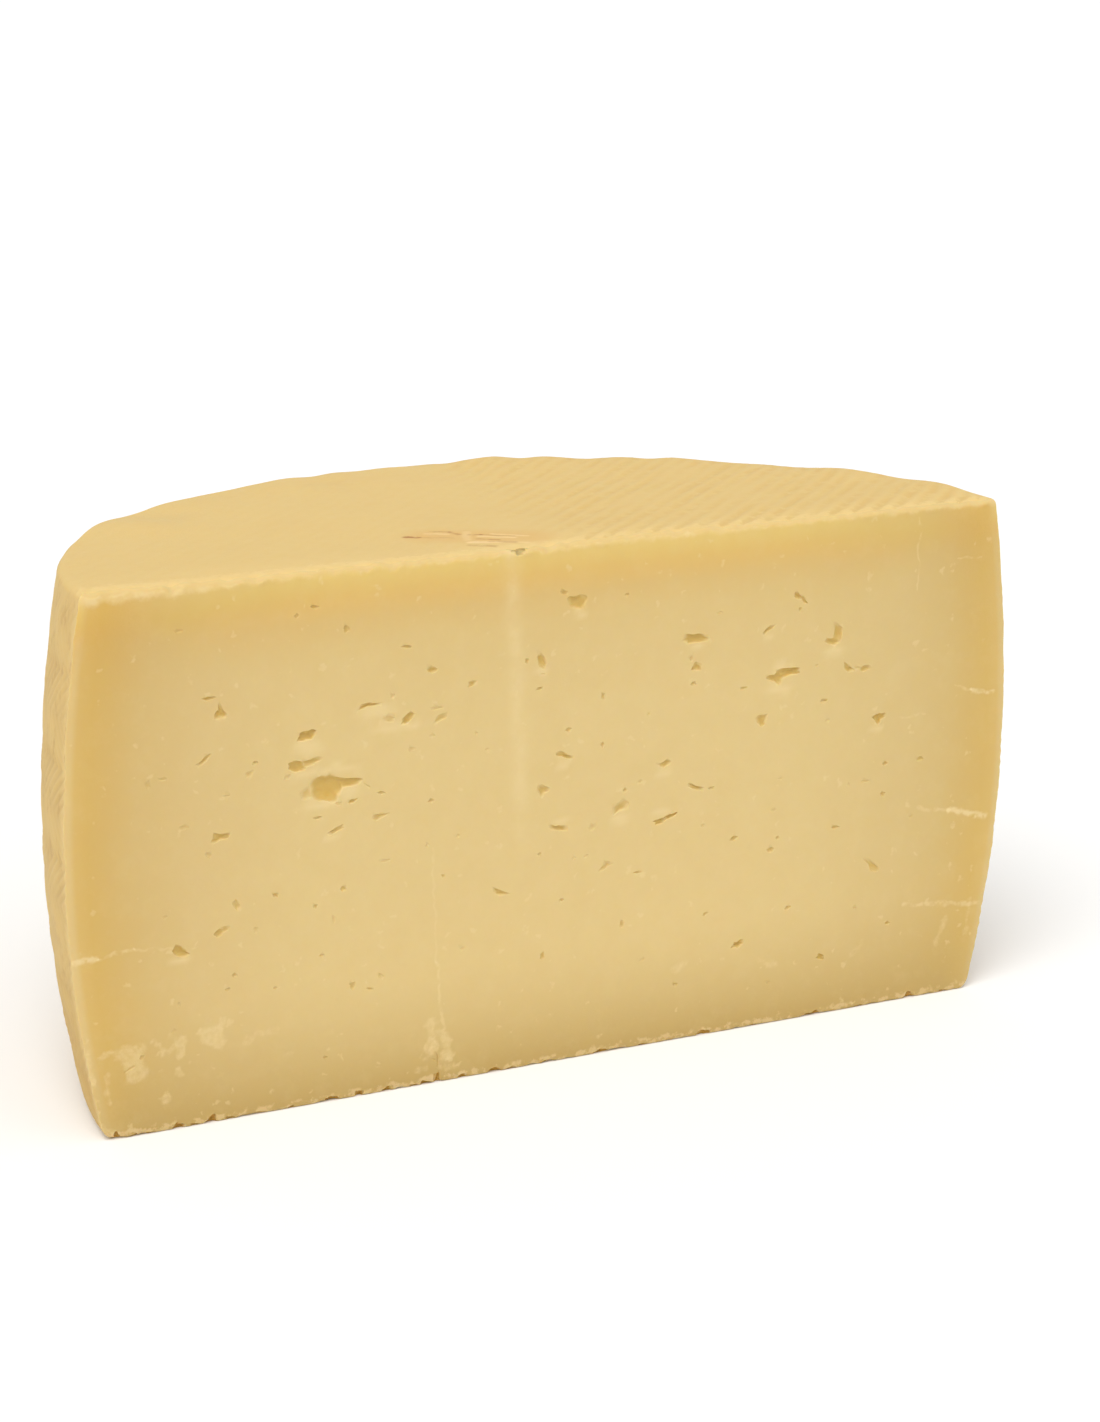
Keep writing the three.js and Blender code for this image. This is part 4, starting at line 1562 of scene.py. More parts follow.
@dataclass(frozen=True)
class PasteFinish:
    """The cut paste: pale straw, golden next to the rind, deeper at the foot, partly in its own tone and
    partly as painted shade, and specked.
    """

    wheel: WheelForm = WheelForm()
    surface: WaxySurface = WaxySurface()
    inward: Ramp = (
        (0.0, (226, 196, 134)),
        (1.1, (225, 194, 128)),
        (2.0, (223, 186, 109)),
        (4.5, (220, 182, 102)),
        (8.5, (219, 183, 110)),
        (14.0, (220, 188, 122)),
        (24.0, (224, 194, 132)),
        (38.0, (227, 198, 136)),
        (50.0, (229, 201, 139)),
    )
    downward: Ramp = (
        (0.0, (237, 201, 120)),
        (2.0, (236, 199, 118)),
        (5.0, (230, 191, 111)),
        (7.0, (228, 189, 113)),
        (10.0, (225, 190, 121)),
        (15.0, (226, 195, 130)),
        (20.0, (227, 197, 134)),
        (34.0, (229, 200, 138)),
    )
    middle: Colour = (229, 201, 139)
    # The lip's pale colour is partly a painted highlight where the top edge catches the light.
    lip: Colour = (240, 211, 148)
    lip_width: float = 0.8
    reach: float = 50.0
    # Partly the paste's own deeper tone, partly painted shade low on the cut face.
    foot_tone_and_shade: Colour = (198, 166, 100)
    foot_height: float = 27.0
    crumbs: Colour = (229, 199, 145)
    # Painted shadow in the crumbled notches: dark brown low down, paler for the notch on top.
    notch: Colour = (190, 142, 56)
    top_notch_shadow: Colour = (198, 172, 112)
    shaded: Colour = (205, 182, 118)
    pale: Colour = (240, 214, 157)
    gold: Colour = (217, 182, 110)
    # Painted shade and warm bounced light inside the eyes, stronger the deeper the point lies.
    deep: Colour = (216, 178, 96)
    deepest_shade: Colour = (226, 184, 92)

    def seen(self, colour: Colour) -> tuple[float, float, float, float]:
        """The pigment that looks like a colour on the cut face."""
        return pigment(colour, LIGHT_ON_CUT)

    def build(self) -> bpy.types.Material:
        """Makes the paste's material."""
        material = bpy.data.materials.new("cheese_paste")
        graph = Graph(material)
        point = graph.place()
        ragged = graph.grain(point, 0.5, 4.0, 0.65)
        colour = self.specked(graph, point, self.graded(graph, point))
        colour = self.marked(graph, point, ragged, colour)
        height = ragged * 0.6 + graph.grain(point, 2.2, 2.0, 0.5) * 0.25
        normal = graph.node(
            "ShaderNodeBump", {}, {"Strength": 0.35, "Distance": 0.00025, "Height": height}
        )
        rough = 0.5 + graph.grain(point, 0.3, 2.0) * 0.16
        self.surface.shade(graph, colour, rough, normal)
        return material

    def graded(self, graph: Graph, point: Signal) -> Signal:
        """The paste's colour by its distance from the rind, the top and the foot.

        Args:
            graph: The material's nodes.
            point: The point in millimetres.

        Returns:
            The colour.
        """
        x, y, z = graph.axes(point)
        share = z / (self.wheel.height / 2.0) - 1.0
        upper = graph.math("GREATER_THAN", share, 0.0)
        inset = self.wheel.base_inset + upper * (self.wheel.top_inset - self.wheel.base_inset)
        behind = y - self.wheel.cut_y
        from_middle = graph.math("SQRT", x * x + behind * behind)
        from_side = self.wheel.radius - inset * share * share - from_middle
        lean = x * self.wheel.rise_to_right - behind * self.wheel.fall_to_back
        from_top = self.wheel.height + lean - z - graph.mark("dip")
        wander = (graph.grain(point, 0.045, 3.0, 0.55) - 0.5) * 6.0
        sideways = self.ramp(graph, self.inward, from_side + wander * from_side.rising(1.5, 12.0))
        falling = from_top + wander * 0.7 * from_top.rising(4.0, 14.0)
        downwards = self.ramp(graph, self.downward, falling)
        least = graph.mixed(1.0, sideways, downwards, "DARKEN")
        against_middle = graph.vector("DIVIDE", sideways, self.seen(self.middle)[:3])
        both = graph.vector("MULTIPLY", against_middle, downwards)
        colour = graph.mixed(0.5, least, both)
        colour = self.lipped(graph, point, from_top, colour)
        colour = graph.mixed(x.rising(20.0, 95.0) * 0.12, colour, self.seen(self.shaded))
        return self.footed(graph, point, wander, from_side, colour)

    def lipped(self, graph: Graph, point: Signal, from_top: Signal, colour: Signal) -> Signal:
        """Adds the pale, ragged lip below the top, partly a painted highlight, and painted shade on the
        edge's upward-facing round.

        Args:
            graph: The material's nodes.
            point: The point in millimetres.
            from_top: How far the point lies below the lip's edge.
            colour: The colour without it.

        Returns:
            The colour.
        """
        crumbly = (graph.grain(point, 0.6, 4.0, 0.65) - 0.5) * 1.7
        # Pale lip along the top edge: partly the crumbled edge's own paleness, partly a painted
        # highlight.
        bared = (from_top + crumbly).rising(self.lip_width + 0.9, self.lip_width - 0.6)
        bared = bared * (0.6 + graph.grain(point, 0.45, 2.0).rising(0.35, 0.6) * 0.4)
        colour = graph.mixed(bared, colour, self.seen(self.lip))
        # Painted shade: where the edge's round faces upwards it gets a darker pigment, so that the
        # strong light there lifts it only to the lip's colour.
        up = graph.axes(graph.node("ShaderNodeNewGeometry", {}, {}, "Normal"))[2]
        crest_shade = up.rising(0.05, 0.5) * from_top.rising(3.0, 1.8)
        return graph.mixed(crest_shade * 0.85, colour, pigment(self.lip, LIGHT_ON_EDGE))

    def footed(
        self, graph: Graph, point: Signal, wander: Signal, from_side: Signal, colour: Signal
    ) -> Signal:
        """Darkens the colour towards the foot, partly the paste's own tone and partly painted shade, and
        crumbles its lowest edge.

        Args:
            graph: The material's nodes.
            point: The point in millimetres.
            wander: How far the colour's bands stray, in millimetres.
            from_side: How far the point lies inside the rind.
            colour: The colour without it.

        Returns:
            The colour.
        """
        z = graph.axes(point)[2]
        # Darker towards the foot: partly the paste's own tone, partly painted shade.
        foot_tone_and_shade = (1.0 - (z + wander * 0.25) * (1.0 / self.foot_height)).clipped() ** 1.8
        foot_tone_and_shade = foot_tone_and_shade * (0.72 + from_side.rising(0.0, 8.0) * 0.38)
        colour = graph.mixed(foot_tone_and_shade, colour, self.seen(self.foot_tone_and_shade))
        rough_foot = graph.grain(point, 0.5, 4.0, 0.65)
        crumbled = (z - rough_foot * 5.0).rising(-0.9, -1.7) * rough_foot.rising(0.45, 0.56)
        return graph.mixed(crumbled * 0.65, colour, self.seen(self.crumbs))

    def specked(self, graph: Graph, point: Signal, colour: Signal) -> Signal:
        """Adds the paste's mottling and its pale specks of many sizes.

        Args:
            graph: The material's nodes.
            point: The point in millimetres.
            colour: The colour without them.

        Returns:
            The colour.
        """
        mottled = (graph.grain(point, 0.16, 5.0, 0.68) - 0.5) * 0.5
        colour = graph.mixed(mottled.clipped(), colour, self.seen(self.pale))
        colour = graph.mixed((-mottled).clipped(), colour, self.seen(self.gold))
        warp = graph.node("ShaderNodeTexNoise", {}, {"Vector": point, "Scale": 0.6}, "Color")
        shift = graph.vector("SUBTRACT", warp, (0.5, 0.5, 0.5))
        warped = graph.vector("ADD", point, graph.stretched(shift, (3.2, 3.2, 3.2)))
        cell = graph.node(
            "ShaderNodeTexVoronoi", {"feature": "F1"}, {"Vector": warped, "Scale": 0.36}, "Distance"
        )
        chance = graph.axes(Signal(graph, cell.socket.node.outputs["Color"]))[0]
        speck = (chance * 0.46 - 0.18 - cell).rising(-0.05, 0.14)
        return graph.mixed(speck * 0.36, colour, self.seen(self.pale))

    def marked(self, graph: Graph, point: Signal, ragged: Signal, colour: Signal) -> Signal:
        """Adds the smears, the knife's band, the pale lines, painted highlights round the eyes, painted
        shadow in the notches and painted shade inside the eyes by their depth.

        Args:
            graph: The material's nodes.
            point: The point in millimetres.
            ragged: A noise that frays the smears' edges.
            colour: The colour without them.

        Returns:
            The colour.
        """
        smear = graph.mark("smear")
        smeared = (smear + (ragged - 0.5) * 1.6).rising(0.25, 0.95) * smear.rising(0.0, 0.3)
        mottled = 0.26 + graph.grain(point, 0.9, 4.0, 0.7).rising(0.34, 0.62) * 0.26
        colour = graph.mixed(smeared * mottled, colour, self.seen(self.pale))
        patchy = 0.25 + graph.grain(point, 0.25, 4.0, 0.6).rising(0.36, 0.64) * 0.25
        colour = graph.mixed(graph.mark("band") * patchy, colour, self.seen(self.pale))
        # Painted highlights: pale patches round the eyes, where their lips catch the light.
        colour = graph.mixed(graph.mark("glow").clipped() * 0.55, colour, self.seen(self.pale))
        colour = graph.mixed(self.scratched(graph, point), colour, self.seen(self.pale))
        # Painted shade inside the eyes: a darker, warmer gold the deeper the point lies.
        hollow = graph.mark("eye")
        colour = graph.mixed(hollow.rising(0.03, 0.4) * 0.95, colour, self.seen(self.deep))
        colour = graph.mixed(hollow.rising(0.5, 1.2) * 0.8, colour, self.seen(self.deepest_shade))
        height = graph.axes(point)[2]
        # Painted shadow in the crumbled notches, stronger the deeper the point lies.
        notch = graph.mixed(height.rising(50.0, 60.0), self.seen(self.notch), self.seen(self.top_notch_shadow))
        return graph.mixed(graph.mark("notch").rising(0.12, 0.6), colour, notch)

    def ramp(self, graph: Graph, colours: Ramp, distance: Signal) -> Signal:
        """Colours that change with a distance.

        Args:
            graph: The material's nodes.
            colours: The distances in millimetres and the colours seen there.
            distance: The distance.

        Returns:
            The colour.
        """
        stops = [(mm / self.reach, self.seen(colour)) for mm, colour in colours]
        share = (distance * (1.0 / self.reach)).clipped()
        return graph.node("ShaderNodeValToRGB", {"stops": stops}, {"Fac": share})

    def scratched(self, graph: Graph, point: Signal) -> Signal:
        """How strongly the pale lines show.

        Args:
            graph: The material's nodes.
            point: The point in millimetres.

        Returns:
            A share from 0 to 1.
        """
        wobble = graph.node(
            "ShaderNodeTexNoise", {}, {"Vector": point, "Scale": 0.35, "Detail": 3.0}, "Color"
        )
        shift = graph.vector("SUBTRACT", wobble, (0.5, 0.5, 0.5))
        shift = graph.stretched(shift, (2.4, 0.0, 2.4))
        flat = graph.stretched(graph.vector("ADD", point, shift), (1.0, 0.0, 1.0))
        total: Value = 0.0
        for line in SCRATCHES:
            total = total + graph.stroke(flat, line.start, line.end, line.half_width) * line.strength
        broken = graph.grain(point, 0.7, 2.0).rising(0.25, 0.6)
        return (total * broken).clipped()


STREAKS: tuple[Stroke, ...] = (
    Stroke((-24.8, 20.5), (-23.2, 19.3), 1.3, 1.0),
    Stroke((-22.8, 18.8), (-17.5, 15.6), 0.8, 0.25),
    Stroke((-18.8, 22.8), (-15.8, 20.7), 0.6, 0.5),
    Stroke((-15.8, 20.2), (-15.2, 17.6), 0.9, 0.55),
    Stroke((-13.6, 16.2), (-11.6, 15.2), 0.7, 0.55),
    Stroke((-11.6, 15.2), (-6.8, 10.9), 0.5, 0.4),
    Stroke((-13.8, 12.4), (-10.6, 9.2), 0.6, 0.7),
    Stroke((-12.2, 8.6), (-9.0, 5.6), 1.2, 0.4),
    Stroke((-17.2, 7.6), (-13.8, 4.6), 1.2, 0.45),
)
PALE_STREAKS: tuple[Stroke, ...] = (
    Stroke((-13.0, 19.2), (-15.8, 12.4), 1.3, 0.45),
    Stroke((-20.4, 21.6), (-17.0, 19.0), 0.9, 0.65),
    Stroke((-12.4, 14.2), (-7.4, 9.8), 1.0, 0.8),
    Stroke((-16.2, 9.9), (-11.4, 7.2), 1.2, 1.0),
    Stroke((-9.6, 14.6), (-4.6, 9.6), 0.8, 0.7),
    Stroke((-10.6, 6.8), (-7.2, 4.2), 1.0, 0.55),
)


@dataclass(frozen=True)
class RindFinish:
    """The rind: dry and tan, browner in the print's grooves, with a stain by the cut on top."""

    wheel: WheelForm = WheelForm()
    surface: WaxySurface = WaxySurface(specular=0.26, soak=0.35, soak_depth=0.0007)
    top: Colour = (231, 200, 136)
    near_cut: Colour = (241, 211, 146)
    side: Colour = (230, 197, 130)
    # Partly wear, partly a painted highlight along the cut edge.
    worn: Colour = (238, 208, 146)
    # Partly wear, partly a painted highlight along the top's cut edge.
    lip: Colour = (240, 210, 147)
    groove: Colour = (205, 166, 106)
    ridge_groove: Colour = (227, 192, 125)
    # Partly the rind's own tone, partly painted shade low on the side.
    low_side_tone_and_shade: Colour = (219, 183, 113)
    dashes: Colour = (204, 160, 98)
    warm: Colour = (226, 190, 128)
    pale: Colour = (246, 214, 158)
    stain: Colour = (186, 132, 76)
    halo: Colour = (230, 188, 122)

    def seen(self, colour: Colour) -> tuple[float, float, float, float]:
        """The pigment that looks like a colour on the rind."""
        return pigment(colour, LIGHT_ON_TOP)

    def build(self) -> bpy.types.Material:
        """Makes the rind's material."""
        material = bpy.data.materials.new("cheese_rind")
        graph = Graph(material)
        point = graph.place()
        up = graph.axes(graph.node("ShaderNodeNewGeometry", {}, {}, "Normal"))[2]
        on_top = up.rising(0.35, 0.85)
        colour = self.based(graph, point, on_top)
        colour = self.pressed(graph, point, on_top, colour)
        colour = self.stained(graph, point, on_top, colour)
        height = graph.grain(point, 0.8, 4.0, 0.6) * 0.7 + graph.grain(point, 3.0, 2.0) * 0.25
        normal = graph.node(
            "ShaderNodeBump", {}, {"Strength": 0.5, "Distance": 0.0003, "Height": height}
        )
        rough = 0.6 + graph.grain(point, 0.3, 2.0) * 0.15
        self.surface.shade(graph, colour, rough, normal)
        return material

    def based(self, graph: Graph, point: Signal, on_top: Signal) -> Signal:
        """The top's and the side's own colours, paler next to the cut; the side's pale band along the
        cut is partly wear and partly a painted highlight.

        Args:
            graph: The material's nodes.
            point: The point in millimetres.
            on_top: 1 on the top and 0 on the side.

        Returns:
            The colour.
        """
        _, y, z = graph.axes(point)
        behind = y - self.wheel.cut_y
        cloudy = graph.grain(point, 0.05, 4.0, 0.6)
        ragged = (graph.grain(point, 0.33, 3.0, 0.6) - 0.5) * 7.0
        by_cut = behind.rising(16.0, 1.5) * 0.4
        top = graph.mixed(by_cut, self.seen(self.top), self.seen(self.near_cut))
        # The side darkens towards the base: partly the rind's own tone, partly painted shade.
        side = graph.mixed(z.rising(38.0, 14.0), self.seen(self.side), self.seen(self.low_side_tone_and_shade))
        # Pale band on the side along the cut: partly wear, partly a painted highlight where the edge
        # catches the light.
        worn = (behind + ragged * 0.4).rising(3.4, 0.8) * 0.8
        side = graph.mixed(worn, side, self.seen(self.worn))
        colour = graph.mixed(on_top, side, top)
        return graph.mixed(cloudy.rising(0.45, 0.75) * 0.25, colour, self.seen(self.warm))

    def pressed(self, graph: Graph, point: Signal, on_top: Signal, colour: Signal) -> Signal:
        """Adds the browner grooves of the prints, the dashes, the pale lip along the cut, partly a
        painted highlight, and the speckle.

        Args:
            graph: The material's nodes.
            point: The point in millimetres.
            on_top: 1 on the top and 0 on the side.
            colour: The colour without them.

        Returns:
            The colour.
        """
        behind = graph.axes(point)[1] - self.wheel.cut_y
        grooves = graph.mark("groove").clipped()
        colour = graph.mixed(grooves * 0.75 * (1.0 - on_top), colour, self.seen(self.groove))
        dashes = graph.grain(graph.stretched(point, (0.4, 0.4, 0.2)), 1.0, 4.0, 0.65)
        dashes = dashes.rising(0.52, 0.72) * (1.0 - on_top) * 0.55
        colour = graph.mixed(dashes, colour, self.seen(self.dashes))
        dashed = graph.grain(point, 0.4, 2.0).rising(0.3, 0.56) * 0.9
        colour = graph.mixed(grooves * dashed * on_top, colour, self.seen(self.ridge_groove))
        # Pale lip on the top along the cut: partly wear, partly a painted highlight where the edge
        # catches the light.
        frayed = (graph.grain(point, 0.9, 4.0, 0.7) - 0.5) * 9.0
        lip = (behind + frayed + grooves * 2.6).rising(4.6, 3.2) * on_top
        lip = lip * (0.45 + graph.grain(point, 0.4, 3.0).rising(0.35, 0.6) * 0.5)
        colour = graph.mixed(lip, colour, self.seen(self.lip))
        speckle = graph.grain(point, 0.9, 3.0, 0.65)
        return graph.mixed(speckle.rising(0.6, 0.8) * 0.2, colour, self.seen(self.groove))

    def stained(self, graph: Graph, point: Signal, on_top: Signal, colour: Signal) -> Signal:
        """Adds the stain by the cut: its halo, its pale lines and its brown ones.

        Args:
            graph: The material's nodes.
            point: The point in millimetres.
            on_top: 1 on the top and 0 on the side.
            colour: The colour without it.

        Returns:
            The colour.
        """
        spot = self.on_the_flat(graph, point)
        halo = graph.stroke(spot, (-20.0, 19.0), (-5.0, 9.0), 8.5)
        colour = graph.mixed(halo * on_top * 0.75, colour, self.seen(self.halo))
        lifted = self.streaked(graph, spot, PALE_STREAKS)
        colour = graph.mixed(lifted * on_top, colour, self.seen(self.pale))
        broken = graph.grain(point, 0.5, 3.0).rising(0.28, 0.5)
        brown = self.streaked(graph, spot, STREAKS) * broken
        return graph.mixed(brown * on_top, colour, self.seen(self.stain))

    def on_the_flat(self, graph: Graph, point: Signal) -> Signal:
        """A point as x and the distance behind the cut, a little wavy.

        Args:
            graph: The material's nodes.
            point: The point in millimetres.

        Returns:
            The vector, with y set to 0.
        """
        x, y, _ = graph.axes(point)
        wobble = graph.grain(point, 0.3, 3.0) - 0.5
        behind = y - self.wheel.cut_y + wobble * 1.6
        return graph.node("ShaderNodeCombineXYZ", {}, {"X": x, "Y": 0.0, "Z": behind})

    @staticmethod
    def streaked(graph: Graph, spot: Signal, streaks: Sequence[Stroke]) -> Signal:
        """How strongly some streaks show.

        Args:
            graph: The material's nodes.
            spot: The point as x and the distance behind the cut.
            streaks: The streaks.

        Returns:
            A share from 0 to 1.
        """
        total: Value = 0.0
        for line in streaks:
            total = total + graph.stroke(spot, line.start, line.end, line.half_width) * line.strength
        return total.clipped()


# ---------------------------------------------------------------- the half wheel


@dataclass(frozen=True)
class PaintedHighlight:
    """A painted highlight on the cut face: a pale patch where an eye's lip catches the light.

    Attributes:
        x: Its middle along the cut.
        z: Its middle's height.
        width: Its width before it is turned.
        height: Its height before it is turned.
        tilt: How far it is turned, in degrees.
    """

    x: float
    z: float
    width: float
    height: float
    tilt: float = 0.0

    def share(self, places: np.ndarray) -> np.ndarray:
        """How strongly it covers each of some places, from 0 to 1."""
        turn = math.radians(self.tilt)
        right, up = places[:, 0] - self.x, places[:, 1] - self.z
        across = (right * math.cos(turn) + up * math.sin(turn)) / self.width
        rise = (up * math.cos(turn) - right * math.sin(turn)) / self.height
        kept = np.clip((0.75 - np.hypot(across, rise)) / 0.55, 0.0, 1.0)
        return kept * kept * (3.0 - 2.0 * kept)


SMEARS: tuple[Stroke, ...] = (
    Stroke((-89.6, 16.6), (-87.2, 12.6), 2.7, 0.95),
    Stroke((-87.0, 17.4), (-88.6, 11.4), 1.8, 0.6),
    Stroke((-84.3, 18.6), (-82.8, 15.8), 0.9, 0.9),
    Stroke((-78.3, 18.5), (-81.5, 15.6), 0.9, 0.9),
    Stroke((-78.1, 17.3), (-79.7, 14.6), 0.8, 0.8),
    Stroke((-73.4, 17.6), (-71.6, 16.2), 2.3, 0.95),
    Stroke((-75.4, 18.6), (-73.6, 17.6), 1.1, 0.8),
    Stroke((-72.0, 18.2), (-70.6, 20.6), 1.0, 0.8),
    Stroke((-79.9, 12.2), (-79.5, 11.5), 1.2, 0.9),
    Stroke((-82.8, 11.8), (-82.0, 11.4), 1.1, 0.5),
    Stroke((-83.6, 6.4), (-81.3, 6.4), 0.8, 0.7),
    Stroke((-82.0, 8.0), (-82.3, 5.0), 0.9, 0.7),
    Stroke((-77.0, 13.2), (-76.4, 12.6), 1.0, 0.5),
    Stroke((-71.4, 9.6), (-70.6, 9.0), 1.1, 0.5),
    Stroke((-83.4, 20.8), (-82.8, 20.4), 0.9, 0.5),
    Stroke((-81.4, 18.7), (-80.6, 18.3), 0.9, 0.5),
    Stroke((-94.1, 16.7), (-92.3, 17.8), 0.9, 0.8),
    Stroke((-93.3, 13.0), (-93.5, 7.6), 0.9, 0.7),
    Stroke((-96.7, 18.2), (-96.4, 11.8), 0.8, 0.7),
    Stroke((-96.4, 11.8), (-95.6, 6.4), 0.8, 0.6),
    Stroke((-64.0, 16.4), (-60.4, 16.6), 1.4, 0.6),
    Stroke((-66.6, 15.6), (-65.4, 15.3), 1.3, 0.5),
    Stroke((-58.6, 11.0), (-57.2, 11.2), 1.3, 0.5),
    Stroke((-50.6, 14.0), (-49.0, 14.2), 1.3, 0.45),
    Stroke((-29.2, 12.3), (-28.6, 11.9), 1.2, 0.7),
    Stroke((-26.3, 10.5), (-25.7, 10.1), 1.2, 0.6),
    Stroke((-25.5, 8.9), (-24.9, 8.3), 1.1, 0.6),
    Stroke((-29.2, 8.1), (-28.2, 7.1), 1.6, 0.8),
    Stroke((-28.6, 12.6), (-28.3, 8.4), 2.2, 0.55),
    Stroke((-25.8, 9.4), (-24.9, 6.0), 1.4, 0.55),
    Stroke((-32.0, 3.2), (-29.6, 3.8), 1.2, 0.5),
    Stroke((-26.4, 3.0), (-23.6, 2.8), 1.2, 0.6),
    Stroke((-95.0, 3.0), (-92.4, 1.4), 1.1, 0.8),
    Stroke((-26.4, 5.2), (-24.8, 5.2), 1.4, 0.9),
    Stroke((-30.6, 5.5), (-28.8, 5.5), 0.8, 0.7),
    Stroke((24.0, 15.0), (27.0, 16.6), 1.2, 0.6),
    Stroke((44.0, 13.6), (47.6, 12.8), 1.4, 0.6),
    Stroke((66.0, 12.0), (68.6, 14.6), 1.1, 0.5),
    Stroke((86.0, 11.0), (88.0, 16.0), 1.2, 0.7),
    Stroke((93.4, 12.0), (93.8, 20.0), 0.9, 0.6),
)
# Painted highlights round the eyes, where their lips catch the light.
PAINTED_HIGHLIGHTS: tuple[PaintedHighlight, ...] = (
    PaintedHighlight(-47.5, 66.4, 9.0, 1.6, -8.0),
    PaintedHighlight(-51.0, 59.8, 7.0, 2.2),
    PaintedHighlight(-45.2, 61.6, 4.4, 3.0),
    PaintedHighlight(-53.0, 71.2, 6.5, 3.2),
    PaintedHighlight(-39.5, 76.4, 8.0, 2.6),
    PaintedHighlight(-37.5, 73.0, 6.0, 2.2),
    PaintedHighlight(-32.4, 73.2, 4.0, 1.8),
    PaintedHighlight(-53.5, 65.8, 5.0, 1.6),
    PaintedHighlight(46.5, 71.0, 6.0, 2.6),
    PaintedHighlight(47.0, 75.6, 5.0, 1.2),
    PaintedHighlight(58.5, 77.2, 5.0, 2.0),
    PaintedHighlight(11.5, 48.6, 4.0, 2.4),
    PaintedHighlight(21.2, 57.0, 4.0, 1.6),
    PaintedHighlight(20.5, 49.0, 4.0, 1.4),
    PaintedHighlight(27.5, 81.6, 4.0, 1.2),
    PaintedHighlight(2.2, 91.0, 4.0, 1.6),
    PaintedHighlight(-5.6, 80.2, 2.6, 1.6),
    PaintedHighlight(69.5, 59.6, 3.0, 1.4),
    PaintedHighlight(-0.4, 61.6, 3.4, 1.2),
    PaintedHighlight(-1.0, 50.0, 3.6, 1.2),
    PaintedHighlight(-78.6, 33.4, 4.0, 1.4),
    PaintedHighlight(43.6, 81.6, 2.6, 1.4),
    PaintedHighlight(-48.6, 52.9, 3.0, 1.2),
)


